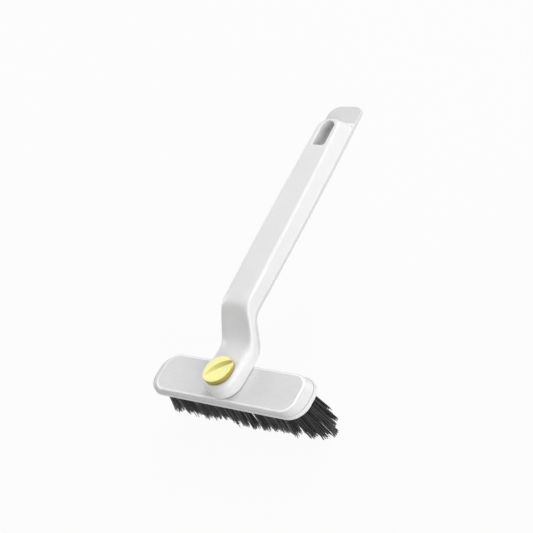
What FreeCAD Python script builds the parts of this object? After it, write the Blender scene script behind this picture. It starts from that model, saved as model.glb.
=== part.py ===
import FreeCAD, Part
import math
import os
import Sketcher

# Grout brush with a swivelling head, a twist lock knob and a scraper tail. Millimetres.
# Local frame while modelling: pivot axis on Z, top of the head at z = 0, head along X, handle along +Y.

doc = FreeCAD.newDocument("grout_brush")
Vec = FreeCAD.Vector
sheet = doc.addObject("Spreadsheet::Sheet", "Sizes")
cells = []


def size(alias, value):
    cells.append(alias)
    line = len(cells)
    sheet.set("A%d" % line, alias)
    sheet.set("B%d" % line, str(value))
    sheet.setAlias("B%d" % line, alias)


def val(alias):
    return float(sheet.get(alias))


# Driving sizes by alias; lengths in millimetres
sizes = {
    # Head
    "head_length": 125,  # bottom outline of the head
    "head_width": 29.2,  # bottom outline of the head
    "head_height": 6,  # whole thickness of the head
    "rim_height": 2.6,  # visible band of the base
    "bevel_height": 0.6,  # bevel round the top panel
    "ceiling": 2,  # thickness of the cover's top
    "draft_end": 0.7,  # base rim leans in, at the ends
    "draft_side": 0.15,  # base rim leans in, at the sides
    "step_end": 0.5,  # step at the parting line, at the ends
    "step_side": 0.15,  # step at the parting line, at the sides
    "slope_end": 5,  # cover slopes in, at the ends
    "slope_side": 0.6,  # cover slopes in, at the sides
    "bevel_end": 1.8,  # bevel round the panel, at the ends
    "bevel_side": 1.5,  # bevel round the panel, at the sides
    "wall_end": 4.3,  # hollow of the cover from its outline, at the ends
    "wall_side": 1.7,  # hollow of the cover from its outline, at the sides
    "end_flat": 5,  # straight piece in the middle of the head's ends
    "panel_flat": 9,  # straight piece in the middle of the panel's ends
    "cavity_flat": 5,  # straight piece in the middle of the hollow's ends
    "base_play": 0.15,  # base in the cover, all round
    # Tufts
    "tuft_radius": 2.2,  # tuft at its root
    "tuft_play": 0.05,  # tuft in its hole
    "tuft_spread": 2.55,  # tuft at the level of the longest tips
    "hole_depth": 3.1,  # tuft hole
    "row_inset": 5,  # outer rows from the edge of the head
    "row_pitch": 8,  # tufts along a row
    "inner_row": 3.5,  # inner rows from the middle
    "tip_gap": 0.15,  # inner tips from the middle
    "inner_first": 12,  # first inner tuft from the pivot
    "end_inset": 18,  # centre of the end arcs from the end of the head
    "end_step": 30,  # degrees between the end tufts
    "end_flare": 5.6,  # end tufts lean outward by this at the tip
    "end_widen": 1.1,  # end tufts spread sideways by this factor at the tip
    "core_step": 4.3,  # single tuft inside each end arc, from the arc's centre
    "core_flare": 1.7,  # that tuft leans outward by this at the tip
    "trim_depth": 40,  # point of the V below the top of the head
    "trim_slope": 0.98,  # rise of the V per millimetre to the side
    "anchor_height": 1,  # wire anchor
    "anchor_width": 0.5,  # wire anchor
    "anchor_play": 0.1,  # wire anchor in its hole
    "anchor_gap": 0.02,  # tuft below its anchor
    # Pivot stack
    "post_radius": 6,  # pivot post of the cover
    "post_height": 4.6,  # pivot post of the cover
    "pivot_play": 0.06,  # post in the boss
    "lug_length": 2.2,  # stop lug beyond the post
    "lug_half": 1.5,  # half width of the stop lug
    "stop_play": 0.1,  # lug in its pocket
    "swing": 60,  # swivel to each side, degrees
    "bolt_radius": 2.5,  # bolt shank
    "bolt_play": 0.2,  # bolt in its holes
    "bolt_hex": 4,  # half the width across the flats of the bolt head
    "bolt_head": 2.9,  # height of the bolt head
    "hex_play": 0.08,  # bolt head in its socket
    "hub_wall": 1.9,  # wall round the hex socket
    "hub_skirt": 0.1,  # hub below the bolt head
    "boss_gap": 0.4,  # boss above the head
    "post_gap": 0.4,  # web above the post
    "web": 1.4,  # web in the boss
    "seat_radius": 6.6,  # counterbore for the knob hub
    "knob_play": 0.08,  # knob hub in the counterbore
    "ring_step": 0.8,  # swivel washer beyond the lug
    "ring_width": 2.6,  # swivel washer
    "ring_wall": 1.3,  # boss wall outside the swivel washer
    "ring_depth": 0.6,  # recess for the swivel washer
    "ring_play": 0.04,  # swivel washer above the head
    "ring_fit": 0.05,  # swivel washer in its recess
    "spring_thick": 0.6,  # spring washer
    "spring_step": 1,  # spring washer inside the counterbore
    "washer_thick": 0.8,  # knob washer
    "washer_step": 0.4,  # knob washer inside the counterbore
    "hub_play": 0.05,  # knob hub over its washer
    "insert_radius": 4,  # brass insert
    "insert_high": 3,  # brass insert
    "insert_play": 0.02,  # insert in the knob
    "thread_play": 0.05,  # bolt in the insert
    "thread_short": 0.45,  # bolt ends below the top of the insert
    # Screws
    "screw_shank": 1.25,  # base screw
    "screw_head": 2.4,  # base screw head
    "screw_head_high": 1,  # base screw head
    "screw_play": 0.05,  # screws in their threads
    "screw_post": 2.6,  # screw posts of the cover
    "screw_web": 0.8,  # base between screw post and screw head
    "screw_tip": 0.9,  # end of the base screws below the top of the head
    "screw_spare": 0.1,  # pilot holes beyond the screws
    "screw_space": 2.5,  # base screws from the first inner tuft, in pitches of the row
    "screw_clear": 0.2,  # screws in their clearance holes
    "back_shank": 1.5,  # back plate screw
    "back_head": 2.8,  # back plate screw head
    "back_head_high": 1.1,  # back plate screw head
    "back_sunk": 0.3,  # back plate screw heads below the surface
    "back_grip": 5,  # back plate screws reach above the plate
    "back_near": 47,  # back plate screw next to the bend
    "back_far": 155,  # back plate screw next to the hang slot
    "back_wall": 6,  # solid round the back plate screws
    # Handle outlines in plan, at the foot level and at the top level
    "top_level": 40,  # level of the upper outline
    "plan_front": 14,  # start of the outlines, behind the dome of the boss
    "plan_knee": 42,  # outlines at the bend
    "low_knee": 14.5,  # half width, foot level
    "low_end": 28.4,  # half width, foot level
    "high_knee": 8.9,  # half width, top level
    "high_end": 7.6,  # half width, top level
    # Handle side profile, Y from the pivot and height over the head
    "riser_y": 21,  # start of the riser on the boss, at its two edges
    "bend_y": 37.1,  # bend between riser and grip
    "bend_z": 30.35,  # bend between riser and grip
    "grip_end_y": 182.4,  # end of the grip's top
    "grip_end_z": 38.7,  # end of the grip's top
    "end_rake": 3.6,  # end of the grip slopes back by this
    "foot_y": 22.3,  # back plate, lower end
    "knee_y": 36.6,  # back plate, underside of the bend
    "knee_z": 19,  # back plate, underside of the bend
    "tab_length": 15,  # scraper tab beyond the grip
    "tail_z": 29.2,  # underside at the end of the tab
    "plate_thick": 2.2,  # back plate
    "plate_proud": 0.35,  # back plate beyond the shell at the sides
    "tab_corner": 7.5,  # corner radius of the tab
    "tab_bevel": 8.5,  # bevel of the scraper edge
    "tab_edge": 1.1,  # thickness of the scraper edge
    "knee_round": 11,  # underside rounding of the bend
    "boss_top": 10.3,  # top of the boss over the head
    "boss_edge": 3.3,  # rounding of the boss
    "boss_lap": 1,  # roof of the boss laps into the handle
    "heel_round": 15,  # rounding of the heel, at the back of the boss
    "dish_low": 3.6,  # dish of the riser, lower part
    "dish_high": 2.4,  # dish of the riser, upper part
    "dish_bend": 0.8,  # dish that is left at the bend
    "foot_ease": 5.5,  # bend at the foot of the riser starts this far before its corner
    "bend_ease": 10,  # bend at the top of the riser ends this far behind its corner
    "dish_foot": 0.6,  # dish at the foot of the riser
    "boss_ease": 5.8,  # roundness of the boss's edges where they run into the handle
    "end_round": 7.9,  # rounding of the grip's end in plan
    "ridge_round": 2.2,  # rounding of the grip's upper edges
    "rim_round": 0.6,  # rounding of the hang slot's upper edge
    "skin_end": 66,  # skin of the riser ends on the grip
    "skin_step": 0.04,  # skin over the roof of the boss
    "skin_under": 0.01,  # skin under the top of the grip where it ends
    "skin_clear": 0.15,  # skin clears the sides of the handle
    "skin_past": 1.5,  # skin reaches past the sides of the handle
    "dish_even": 0.75,  # share of the dish next to its middle
    "bend_soft": 1.2,  # upper edges at the bend, softer than along the grip
    "wall": 2.2,  # wall over the hollow of the grip
    "hollow_half": 6,  # half width of the hollow
    "slot_half": 4.9,  # hang slot, half width
    "slot_straight": 15,  # hang slot, square end to the centre of the round end
    "slot_corner": 1.5,  # hang slot, corners of the square end
    "beyond": 5,  # cuts reach past the part
    "under_z": 12,  # cuts reach below the top of the head
    "across": 80,  # cuts across the handle, wider than it
    # Knob, a rounded leaf shape with a finger groove along its length
    "knob_long": 10.6,  # knob, long half axis before its ends are rounded
    "knob_short": 9.5,  # knob, short half axis
    "knob_tip": 2.4,  # rounding of the knob's two ends
    "knob_angle": 45,  # knob, degrees from the head
    "knob_gap": 0.3,  # knob above the boss
    "knob_high": 3.1,  # knob thickness over the gap
    "knob_edge": 0.45,  # bevel of the knob's top edge
    "groove_depth": 2.1,  # finger groove
    "groove_tip": 9.4,  # finger groove, narrow end
    "groove_end": 8.9,  # finger groove, wide end
    "groove_bow": 2.5,  # finger groove, bow of the far wall
    "groove_sag": 0.1,  # finger groove, near wall below the middle line
    "groove_far_tip": 0.35,  # far wall at the narrow end
    "groove_near_tip": 0.25,  # near wall at the narrow end
    "groove_far_end": 0.9,  # far wall at the wide end
    "groove_near_end": 2.3,  # near wall at the wide end
}

# Sizes that follow from them
derived = {
    # Head
    "head_corner": "(head_width - end_flat) / 2",  # corner radius of the bottom outline
    "rim_length": "head_length - 2 * draft_end",  # top of the base rim
    "rim_width": "head_width - 2 * draft_side",  # top of the base rim
    "rim_corner": "(rim_width - end_flat) / 2",  # top of the base rim
    "cover_length": "rim_length - 2 * step_end",  # cover at the parting line
    "cover_width": "rim_width - 2 * step_side",  # cover at the parting line
    "cover_corner": "(cover_width - end_flat) / 2",  # cover at the parting line
    "shoulder_length": "cover_length - 2 * slope_end",  # cover at its upper edge
    "shoulder_width": "cover_width - 2 * slope_side",  # cover at its upper edge
    "shoulder_corner": "(shoulder_width - panel_flat) / 2",  # cover at its upper edge
    "panel_length": "shoulder_length - 2 * bevel_end",  # flat top panel
    "panel_width": "shoulder_width - 2 * bevel_side",  # flat top panel
    "panel_corner": "(panel_width - panel_flat) / 2",  # flat top panel
    "cavity_length": "cover_length - 2 * wall_end",  # hollow of the cover
    "cavity_width": "cover_width - 2 * wall_side",  # hollow of the cover
    "cavity_corner": "(cavity_width - cavity_flat) / 2",  # hollow of the cover
    "parting": "head_height - rim_height",  # parting line below the top
    "plug_length": "cavity_length - 2 * base_play",  # raised part of the base
    "plug_width": "cavity_width - 2 * base_play",  # raised part of the base
    "plug_corner": "cavity_corner - base_play",  # raised part of the base
    "plug_top": "ceiling + base_play / 2",  # top of the base below the top of the head
    # Tufts
    "tuft_hole": "tuft_radius + tuft_play",  # tuft hole, radius to its corners
    "outer_row": "head_width / 2 - row_inset",  # outer rows from the middle
    "inner_tip": "tuft_spread + tip_gap",  # inner rows at their tips
    "end_centre": "head_length / 2 - end_inset",  # centre of the end arcs
    "row_count": "floor(2 * end_centre / row_pitch) + 1",  # tufts in an outer row
    "row_start": "row_pitch * (row_count - 1) / 2",  # first tuft of an outer row
    "inner_count": "floor((end_centre - inner_first) / row_pitch) + 1",  # inner tufts on each side of the pivot
    "core_x": "end_centre + core_step",  # single tuft inside each end arc
    # Pivot stack
    "lug_reach": "post_radius + lug_length",  # stop lug from the axis
    "bolt_hole": "bolt_radius + bolt_play",  # holes for the bolt
    "socket_reach": "(bolt_hex + hex_play) / cos(30 deg)",  # hex socket, centre to corner
    "hub_radius": "socket_reach + hub_wall",  # socket hub under the cover
    "hub_depth": "ceiling + bolt_head + hub_skirt",  # socket hub below the top of the head
    "web_low": "post_height + post_gap",  # underside of the web in the boss
    "web_high": "web_low + web",  # top of the web in the boss
    "ring_inner": "lug_reach + ring_step",  # swivel washer
    "ring_outer": "ring_inner + ring_width",  # swivel washer
    "boss_radius": "ring_outer + ring_wall",  # boss
    "hub_low": "web_high + spring_thick + washer_thick + hub_play",  # lower end of the knob hub
    "bolt_top": "hub_low + insert_high - thread_short",  # end of the bolt
    # Screws
    "post_low": "head_height - screw_head_high - screw_web",  # screw posts below the top of the head
    "base_screw": "inner_first + screw_space * row_pitch",  # base screws from the pivot
    # Handle side profile, Y from the pivot and height over the head
    "low_front": "boss_radius",  # half width, foot level
    "high_front": "boss_radius",  # half width, top level
    "plate_round": "knee_round + plate_thick",  # rounding where shell and plate meet
    "grip_tail_y": "grip_end_y + end_rake",  # end of the grip at the plate
    "plan_end": "grip_tail_y + beyond",  # end of the outlines
    "tail_y": "grip_tail_y + tab_length",  # end of the scraper tab
    "boss_back": "plan_front + boss_lap",  # roof of the boss ends
    "heel_reach": "heel_round * tan(atan(riser_slope) / 2)",  # rounding of the heel from its corner
    "heel_near": "foot_y - heel_reach",  # rounding of the heel starts on the boss
    "heel_far": "foot_y + heel_reach * cos(atan(riser_slope))",  # rounding of the heel ends on the plate
    "heel_far_z": "boss_gap + heel_reach * sin(atan(riser_slope))",  # rounding of the heel ends on the plate
    "past_foot": "foot_y + beyond",  # behind the heel
    "ridge_ease": "ridge_round * 1.5",  # control points of a rounded edge from its corner
    "crown_front_z": "bend_z - bend_y * crown_slope",  # top of the grip, drawn on to the pivot
    "riser_rise": "(bend_z - boss_top) / (bend_y - riser_y)",  # slope of the riser
    "boss_flat": "boss_radius - boss_edge",  # flat of the boss top
    "boss_side": "boss_top - boss_edge",  # straight wall of the boss
    "hollow_start": "back_near + back_wall",  # hollow of the grip
    "hollow_end": "back_far - back_wall",  # hollow of the grip
    "slot_low": "back_far + back_wall",  # hang slot, square end
    "slot_high": "slot_low + slot_straight",  # hang slot, centre of the round end
    "far_y": "tail_y + beyond",  # beyond the end of the part
    "far_z": "grip_end_z + beyond",  # above the part
    "crown_slope": "(grip_end_z - bend_z) / (grip_end_y - bend_y)",  # rise of the grip's top
    "hollow_start_z": "bend_z + (hollow_start - bend_y) * crown_slope - wall",  # top of the hollow
    "hollow_end_z": "bend_z + (hollow_end - bend_y) * crown_slope - wall",  # top of the hollow
    "grip_slope": "(tail_z - knee_z) / (tail_y - knee_y)",  # rise of the plate along the grip
    "riser_slope": "(knee_z - boss_gap) / (knee_y - foot_y)",  # rise of the plate along the riser
    "plate_drop": "plate_thick * sqrt(1 + grip_slope ^ 2)",  # plate along the grip, straight down
    "riser_drop": "plate_thick * sqrt(1 + riser_slope ^ 2)",  # plate along the riser, straight down
    "heel_y": "foot_y - riser_drop / riser_slope",  # joint of shell and plate at the foot
    "meet_y": "knee_y + (plate_drop - riser_drop) / (riser_slope - grip_slope)",  # joint line at the bend
    "meet_z": "knee_z + plate_drop + (meet_y - knee_y) * grip_slope",  # joint line at the bend
    "far_meet_z": "meet_z + (far_y - meet_y) * grip_slope",  # joint line beyond the end
    "far_knee_z": "knee_z + (far_y - knee_y) * grip_slope",  # underside beyond the end
    "tail_meet_z": "meet_z + (grip_tail_y - meet_y) * grip_slope",  # joint line at the grip's end
    "near_z": "meet_z + (back_near - meet_y) * grip_slope",  # joint line at the screw next to the bend
    "far_screw_z": "meet_z + (back_far - meet_y) * grip_slope",  # joint line at the screw next to the slot
    "under_grip": "knee_z - 2",  # below the joint line of the grip
    "plate_low_front": "low_front + plate_proud",  # back plate, half width, foot level
    "plate_low_knee": "low_knee + plate_proud",  # back plate, half width, foot level
    "plate_high_front": "high_front + plate_proud",  # back plate, half width, top level
    "plate_high_knee": "high_knee + plate_proud",  # back plate, half width, top level
    "low_taper": "(low_end - low_knee) / (plan_end - plan_knee)",  # outline along the grip, foot level
    "high_taper": "(high_end - high_knee) / (plan_end - plan_knee)",  # outline along the grip, top level
    "plate_low_end": "plate_low_knee + low_taper * (tail_y - plan_knee)",  # back plate at the tab, foot level
    "plate_high_end": "plate_high_knee + high_taper * (tail_y - plan_knee)",  # back plate at the tab, top level
    "bevel_y": "tail_y - tab_bevel",  # start of the scraper bevel
    "bevel_z": "meet_z + (bevel_y - meet_y) * grip_slope",  # start of the scraper bevel
    "bevel_far_z": "bevel_z + (far_y - bevel_y) * (tail_z + tab_edge - bevel_z) / tab_bevel",  # bevel, beyond
    # Knob, a rounded leaf shape with a finger groove along its length
    "knob_level": "boss_top + knob_gap",  # underside of the knob
    "knob_bow": "(knob_long ^ 2 + knob_short ^ 2) / (2 * knob_short)",  # radius of the knob's two sides
    # Whole part: from the pivot to the middle of its box
    "shift_y": "(head_width / 2 - tail_y) / 2",  # pivot from the middle of the box
}

for alias, value in sizes.items():
    size(alias, value)
for alias, formula in derived.items():
    size(alias, "=" + formula)
doc.recompute()

# Corners of the tab, where its rounding leaves the sides and the end of the plate
for level in ("low", "high"):
    tab_point = Vec(val("plate_%s_end" % level), val("tail_y"), 0)
    tab_side = tab_point - Vec(val("plate_%s_knee" % level), val("plan_knee"), 0)
    tab_side.normalize()
    tab_reach = val("tab_corner") / math.tan(math.acos(tab_side.x) / 2)
    size("tab_%s_x" % level, tab_point.x - tab_side.x * tab_reach)
    size("tab_%s_y" % level, tab_point.y - tab_side.y * tab_reach)
    size("tab_%s_end" % level, tab_point.x - tab_reach)

# Places of the end tufts
END_TUFTS = range(-2, 3)
for turn in END_TUFTS:
    angle = math.radians(val("end_step") * turn)
    size("end_x_%s" % "abcde"[turn + 2], val("end_centre") + val("outer_row") * math.cos(angle))
    size("end_y_%s" % "abcde"[turn + 2], abs(val("outer_row") * math.sin(angle)))
doc.recompute()


def bind(obj, prop, formula):
    obj.setExpression(prop, formula)


def settle(made):
    doc.recompute()
    if "Invalid" in made.State or "Error" in made.State or made.Shape.isNull() or not made.Shape.isValid():
        raise RuntimeError("bad shape in " + made.Name + " " + str(made.State))
    return made


# Sketches
def new_body(name):
    body = doc.addObject("PartDesign::Body", name)
    body.Label = name
    return body


def sketch_on(body, name, role, level=None):
    sketch = body.newObject("Sketcher::SketchObject", name)
    for item in body.Origin.OriginFeatures:
        if item.Role == role:
            sketch.AttachmentSupport = [(item, "")]
    sketch.MapMode = "FlatFace"
    if level:
        bind(sketch, "AttachmentOffset.Base.z", level)
    return sketch


def named(text):
    if text == "0":
        return 0.0
    if text.startswith("-"):
        return -val(text[1:])
    return val(text)


def fix_point(sketch, geo, point, x_name, y_name):
    for kind, text, axis in (("DistanceX", x_name, -2), ("DistanceY", y_name, -1)):
        if text is None:
            continue
        if text == "0":
            sketch.addConstraint(Sketcher.Constraint("PointOnObject", geo, point, axis))
        elif text.startswith("-"):
            made = sketch.addConstraint(Sketcher.Constraint(kind, geo, point, -1, 1, val(text[1:])))
            bind(sketch, "Constraints[%d]" % made, "Sizes." + text[1:])
        else:
            made = sketch.addConstraint(Sketcher.Constraint(kind, -1, 1, geo, point, val(text)))
            bind(sketch, "Constraints[%d]" % made, "Sizes." + text)


def fix_radius(sketch, geo, formula):
    made = sketch.addConstraint(Sketcher.Constraint("Radius", geo, 1.0))
    bind(sketch, "Constraints[%d]" % made, formula)


def join_ends(sketch, count):
    for k in range(count):
        sketch.addConstraint(Sketcher.Constraint("Coincident", k, 2, (k + 1) % count, 1))


def arc_piece(sketch, middle, radius, start, stop):
    circle = Part.Circle(middle, Vec(0, 0, 1), radius)
    return sketch.addGeometry(Part.ArcOfCircle(circle, start, stop), False)


# Closed outline through named corners, anticlockwise; arcs give corner number: (centre, alias, start, stop)
def outline(sketch, corners, arcs=None):
    arcs = arcs or {}
    points = [Vec(named(x), named(y), 0) for x, y in corners]
    count = len(points)
    for k in range(count):
        if k in arcs:
            middle, alias, start, stop = arcs[k]
            arc_piece(sketch, middle, val(alias), start, stop)
        else:
            sketch.addGeometry(Part.LineSegment(points[k], points[(k + 1) % count]), False)
    join_ends(sketch, count)
    for k in range(count):
        fix_point(sketch, k, 1, corners[k][0], corners[k][1])
    for k in arcs:
        fix_radius(sketch, k, "Sizes." + arcs[k][1])


def rounded(sketch, length, width, corner):
    x = val(length) / 2
    y = val(width) / 2
    r = val(corner)
    sides = [
        (Vec(-x + r, -y, 0), Vec(x - r, -y, 0)),
        (Vec(x, -y + r, 0), Vec(x, y - r, 0)),
        (Vec(x - r, y, 0), Vec(-x + r, y, 0)),
        (Vec(-x, y - r, 0), Vec(-x, -y + r, 0)),
    ]
    middles = [Vec(x - r, -y + r, 0), Vec(x - r, y - r, 0), Vec(-x + r, y - r, 0), Vec(-x + r, -y + r, 0)]
    for k in range(4):
        sketch.addGeometry(Part.LineSegment(sides[k][0], sides[k][1]), False)
        start = math.radians(-90 + 90 * k)
        arc_piece(sketch, middles[k], r, start, start + math.pi / 2)
    for line in (0, 2, 4, 6):
        sketch.addConstraint(Sketcher.Constraint("Tangent", line, 2, line + 1, 1))
        sketch.addConstraint(Sketcher.Constraint("Tangent", line + 1, 2, (line + 2) % 8, 1))
    for line, kind in ((0, "Horizontal"), (2, "Vertical"), (4, "Horizontal"), (6, "Vertical")):
        sketch.addConstraint(Sketcher.Constraint(kind, line))
    for arc in (3, 5, 7):
        sketch.addConstraint(Sketcher.Constraint("Equal", 1, arc))
    sketch.addConstraint(Sketcher.Constraint("Symmetric", 1, 3, 5, 3, -1, 1))
    made = sketch.addConstraint(Sketcher.Constraint("DistanceX", 6, 1, 2, 1, 2 * x))
    bind(sketch, "Constraints[%d]" % made, "Sizes." + length)
    made = sketch.addConstraint(Sketcher.Constraint("DistanceY", 0, 1, 4, 1, 2 * y))
    bind(sketch, "Constraints[%d]" % made, "Sizes." + width)
    fix_radius(sketch, 1, "Sizes." + corner)


def disc(sketch, formula, x_name="0", y_name="0"):
    place = Vec(named(x_name), named(y_name), 0)
    geo = sketch.addGeometry(Part.Circle(place, Vec(0, 0, 1), 1.0), False)
    if x_name == "0" and y_name == "0":
        sketch.addConstraint(Sketcher.Constraint("Coincident", geo, 3, -1, 1))
    else:
        fix_point(sketch, geo, 3, x_name, y_name)
    fix_radius(sketch, geo, formula)


# Regular polygon with its first corner on +X, its corners held on a circle that isn't part of the outline
def many_sided(sketch, sides, reach, x_name="0", y_name="0"):
    place = Vec(named(x_name), named(y_name), 0)
    corners = []
    for k in range(sides):
        turn = 2 * math.pi * k / sides
        corners.append(place + Vec(math.cos(turn), math.sin(turn), 0) * val(reach))
    first = sketch.GeometryCount
    for k in range(sides):
        sketch.addGeometry(Part.LineSegment(corners[k], corners[(k + 1) % sides]), False)
    ring_geo = sketch.addGeometry(Part.Circle(place, Vec(0, 0, 1), val(reach)), True)
    for k in range(sides):
        later = first + (k + 1) % sides
        sketch.addConstraint(Sketcher.Constraint("Coincident", first + k, 2, later, 1))
        sketch.addConstraint(Sketcher.Constraint("PointOnObject", first + k, 1, ring_geo))
    for k in range(1, sides):
        sketch.addConstraint(Sketcher.Constraint("Equal", first, first + k))
    sketch.addConstraint(Sketcher.Constraint("Horizontal", first, 1, ring_geo, 3))
    if x_name == "0" and y_name == "0":
        sketch.addConstraint(Sketcher.Constraint("Coincident", ring_geo, 3, -1, 1))
    else:
        fix_point(sketch, ring_geo, 3, x_name, y_name)
    fix_radius(sketch, ring_geo, "Sizes." + reach)


# Features
def loft(body, name, low, high):
    made = body.newObject("PartDesign::AdditiveLoft", name)
    made.Profile = low
    made.Sections = [high]
    made.Ruled = True
    return settle(made)


def pad(body, name, sketch, formula, back=False):
    made = body.newObject("PartDesign::Pad", name)
    made.Profile = sketch
    made.Reversed = back
    bind(made, "Length", formula)
    return settle(made)


def pocket(body, name, sketch, formula, up=False):
    made = body.newObject("PartDesign::Pocket", name)
    made.Profile = sketch
    made.Reversed = up
    bind(made, "Length", formula)
    return settle(made)


def pocket_across(body, name, sketch, formula="Sizes.across"):
    made = body.newObject("PartDesign::Pocket", name)
    made.Profile = sketch
    made.SideType = "Symmetric"
    bind(made, "Length", formula)
    return settle(made)


def row_pattern(body, name, feature, sketch, length, count, back=False):
    made = body.newObject("PartDesign::LinearPattern", name)
    made.Originals = [feature]
    made.Direction = (sketch, ["H_Axis"])
    made.Reversed = back
    bind(made, "Length", length)
    bind(made, "Occurrences", count)
    body.Tip = made
    return settle(made)


def edge_feature(kind, prop, body, name, test, formula):
    base_feature = body.Tip
    chosen = []
    for index, edge in enumerate(base_feature.Shape.Edges):
        if test(edge.BoundBox):
            chosen.append("Edge%d" % (index + 1))
    if not chosen:
        raise RuntimeError("no edges for " + name)
    made = body.newObject(kind, name)
    made.Base = (base_feature, chosen)
    bind(made, prop, formula)
    return settle(made)


def fillet(body, name, test, formula):
    return edge_feature("PartDesign::Fillet", "Radius", body, name, test, formula)


def chamfer(body, name, test, formula):
    return edge_feature("PartDesign::Chamfer", "Size", body, name, test, formula)


def runs_across(y_alias, z_alias):
    def test(box):
        straight = box.YLength < 0.01 and box.ZLength < 0.01 and box.XLength > 3
        return straight and abs(box.Center.y - val(y_alias)) < 0.2 and abs(box.Center.z - val(z_alias)) < 0.2
    return test


def cylinder(name, radius, height, level):
    made = doc.addObject("Part::Cylinder", name)
    bind(made, "Radius", radius)
    bind(made, "Height", height)
    bind(made, "Placement.Base.z", level)
    return made


def cut_part(name, whole, tool):
    made = doc.addObject("Part::Cut", name)
    made.Base = whole
    made.Tool = tool
    made.Label = name
    return settle(made)


def ring(name, inner, outer, height, level):
    whole = cylinder(name + "_outer", outer, height, level)
    hole = cylinder(name + "_inner", inner, height, level)
    return cut_part(name, whole, hole)


SCREW_PLACES = ("base_screw", "-base_screw")

# Head cover
cover = new_body("head_cover")
cover_low = sketch_on(cover, "cover_parting", "XY_Plane", "-Sizes.parting")
rounded(cover_low, "cover_length", "cover_width", "cover_corner")
cover_mid = sketch_on(cover, "cover_shoulder", "XY_Plane", "-Sizes.bevel_height")
rounded(cover_mid, "shoulder_length", "shoulder_width", "shoulder_corner")
cover_top = sketch_on(cover, "cover_panel", "XY_Plane")
rounded(cover_top, "panel_length", "panel_width", "panel_corner")
loft(cover, "cover_wall", cover_low, cover_mid)
loft(cover, "cover_bevel", cover_mid, cover_top)
cover_hollow = sketch_on(cover, "cover_hollow", "XY_Plane", "-Sizes.parting")
rounded(cover_hollow, "cavity_length", "cavity_width", "cavity_corner")
pocket(cover, "cover_cavity", cover_hollow, "Sizes.parting - Sizes.ceiling", True)
hub_sketch = sketch_on(cover, "hub_outline", "XY_Plane", "-Sizes.ceiling")
disc(hub_sketch, "Sizes.hub_radius")
pad(cover, "hub", hub_sketch, "Sizes.hub_depth - Sizes.ceiling", True)
hex_sketch = sketch_on(cover, "hex_outline", "XY_Plane", "-Sizes.hub_depth")
many_sided(hex_sketch, 6, "socket_reach")
pocket(cover, "hex_socket", hex_sketch, "Sizes.hub_depth - Sizes.ceiling", True)
posts = sketch_on(cover, "screw_posts_outline", "XY_Plane", "-Sizes.ceiling")
pilots = sketch_on(cover, "screw_pilots_outline", "XY_Plane", "-Sizes.post_low")
for x_name in SCREW_PLACES:
    disc(posts, "Sizes.screw_post", x_name)
    disc(pilots, "Sizes.screw_shank + Sizes.screw_play", x_name)
pad(cover, "screw_posts", posts, "Sizes.post_low - Sizes.ceiling", True)
pocket(cover, "screw_pilots", pilots, "Sizes.post_low - Sizes.screw_tip + Sizes.screw_spare", True)
post_sketch = sketch_on(cover, "post_outline", "XY_Plane")
disc(post_sketch, "Sizes.post_radius")
pad(cover, "pivot_post", post_sketch, "Sizes.post_height")
lug_sketch = sketch_on(cover, "lug_outline", "XY_Plane")
outline(lug_sketch, [("-lug_half", "0"), ("-lug_half", "-lug_reach"), ("lug_half", "-lug_reach"),
                     ("lug_half", "0")])
pad(cover, "stop_lug", lug_sketch, "Sizes.post_height")
bore_sketch = sketch_on(cover, "bolt_bore_outline", "XY_Plane", "Sizes.post_height")
disc(bore_sketch, "Sizes.bolt_hole")
pocket(cover, "bolt_bore", bore_sketch, "Sizes.post_height + Sizes.ceiling")

# Bristle base
TUFT_SIDES = 6
base = new_body("bristle_base")
base_low = sketch_on(base, "base_bottom", "XY_Plane", "-Sizes.head_height")
rounded(base_low, "head_length", "head_width", "head_corner")
base_top = sketch_on(base, "base_rim_top", "XY_Plane", "-Sizes.parting")
rounded(base_top, "rim_length", "rim_width", "rim_corner")
loft(base, "base_rim", base_low, base_top)
plug = sketch_on(base, "base_plug_outline", "XY_Plane", "-Sizes.parting")
rounded(plug, "plug_length", "plug_width", "plug_corner")
pad(base, "base_plug", plug, "Sizes.parting - Sizes.plug_top")
hub_recess = sketch_on(base, "hub_recess_outline", "XY_Plane", "-Sizes.plug_top")
disc(hub_recess, "Sizes.hub_radius + Sizes.base_play")
pocket(base, "hub_recess", hub_recess, "Sizes.hub_depth - Sizes.plug_top + Sizes.base_play")
post_holes = sketch_on(base, "post_recess_outline", "XY_Plane", "-Sizes.plug_top")
through = sketch_on(base, "screw_holes_outline", "XY_Plane", "-Sizes.head_height")
sinks = sketch_on(base, "screw_sinks_outline", "XY_Plane", "-Sizes.head_height")
for x_name in SCREW_PLACES:
    disc(post_holes, "Sizes.screw_post + Sizes.base_play", x_name)
    disc(through, "Sizes.screw_shank + Sizes.screw_clear", x_name)
    disc(sinks, "Sizes.screw_head + Sizes.screw_clear", x_name)
pocket(base, "post_recesses", post_holes, "Sizes.post_low - Sizes.plug_top + Sizes.base_play")
pocket(base, "screw_holes", through, "Sizes.head_height - Sizes.plug_top", True)
pocket(base, "screw_sinks", sinks, "Sizes.screw_head_high", True)
outer_holes = sketch_on(base, "outer_holes_outline", "XY_Plane", "-Sizes.head_height")
many_sided(outer_holes, TUFT_SIDES, "tuft_hole", "-row_start", "outer_row")
many_sided(outer_holes, TUFT_SIDES, "tuft_hole", "-row_start", "-outer_row")
first_holes = pocket(base, "outer_holes", outer_holes, "Sizes.hole_depth", True)
row_pattern(base, "outer_hole_rows", first_holes, outer_holes, "Sizes.row_start * 2", "Sizes.row_count")
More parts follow.
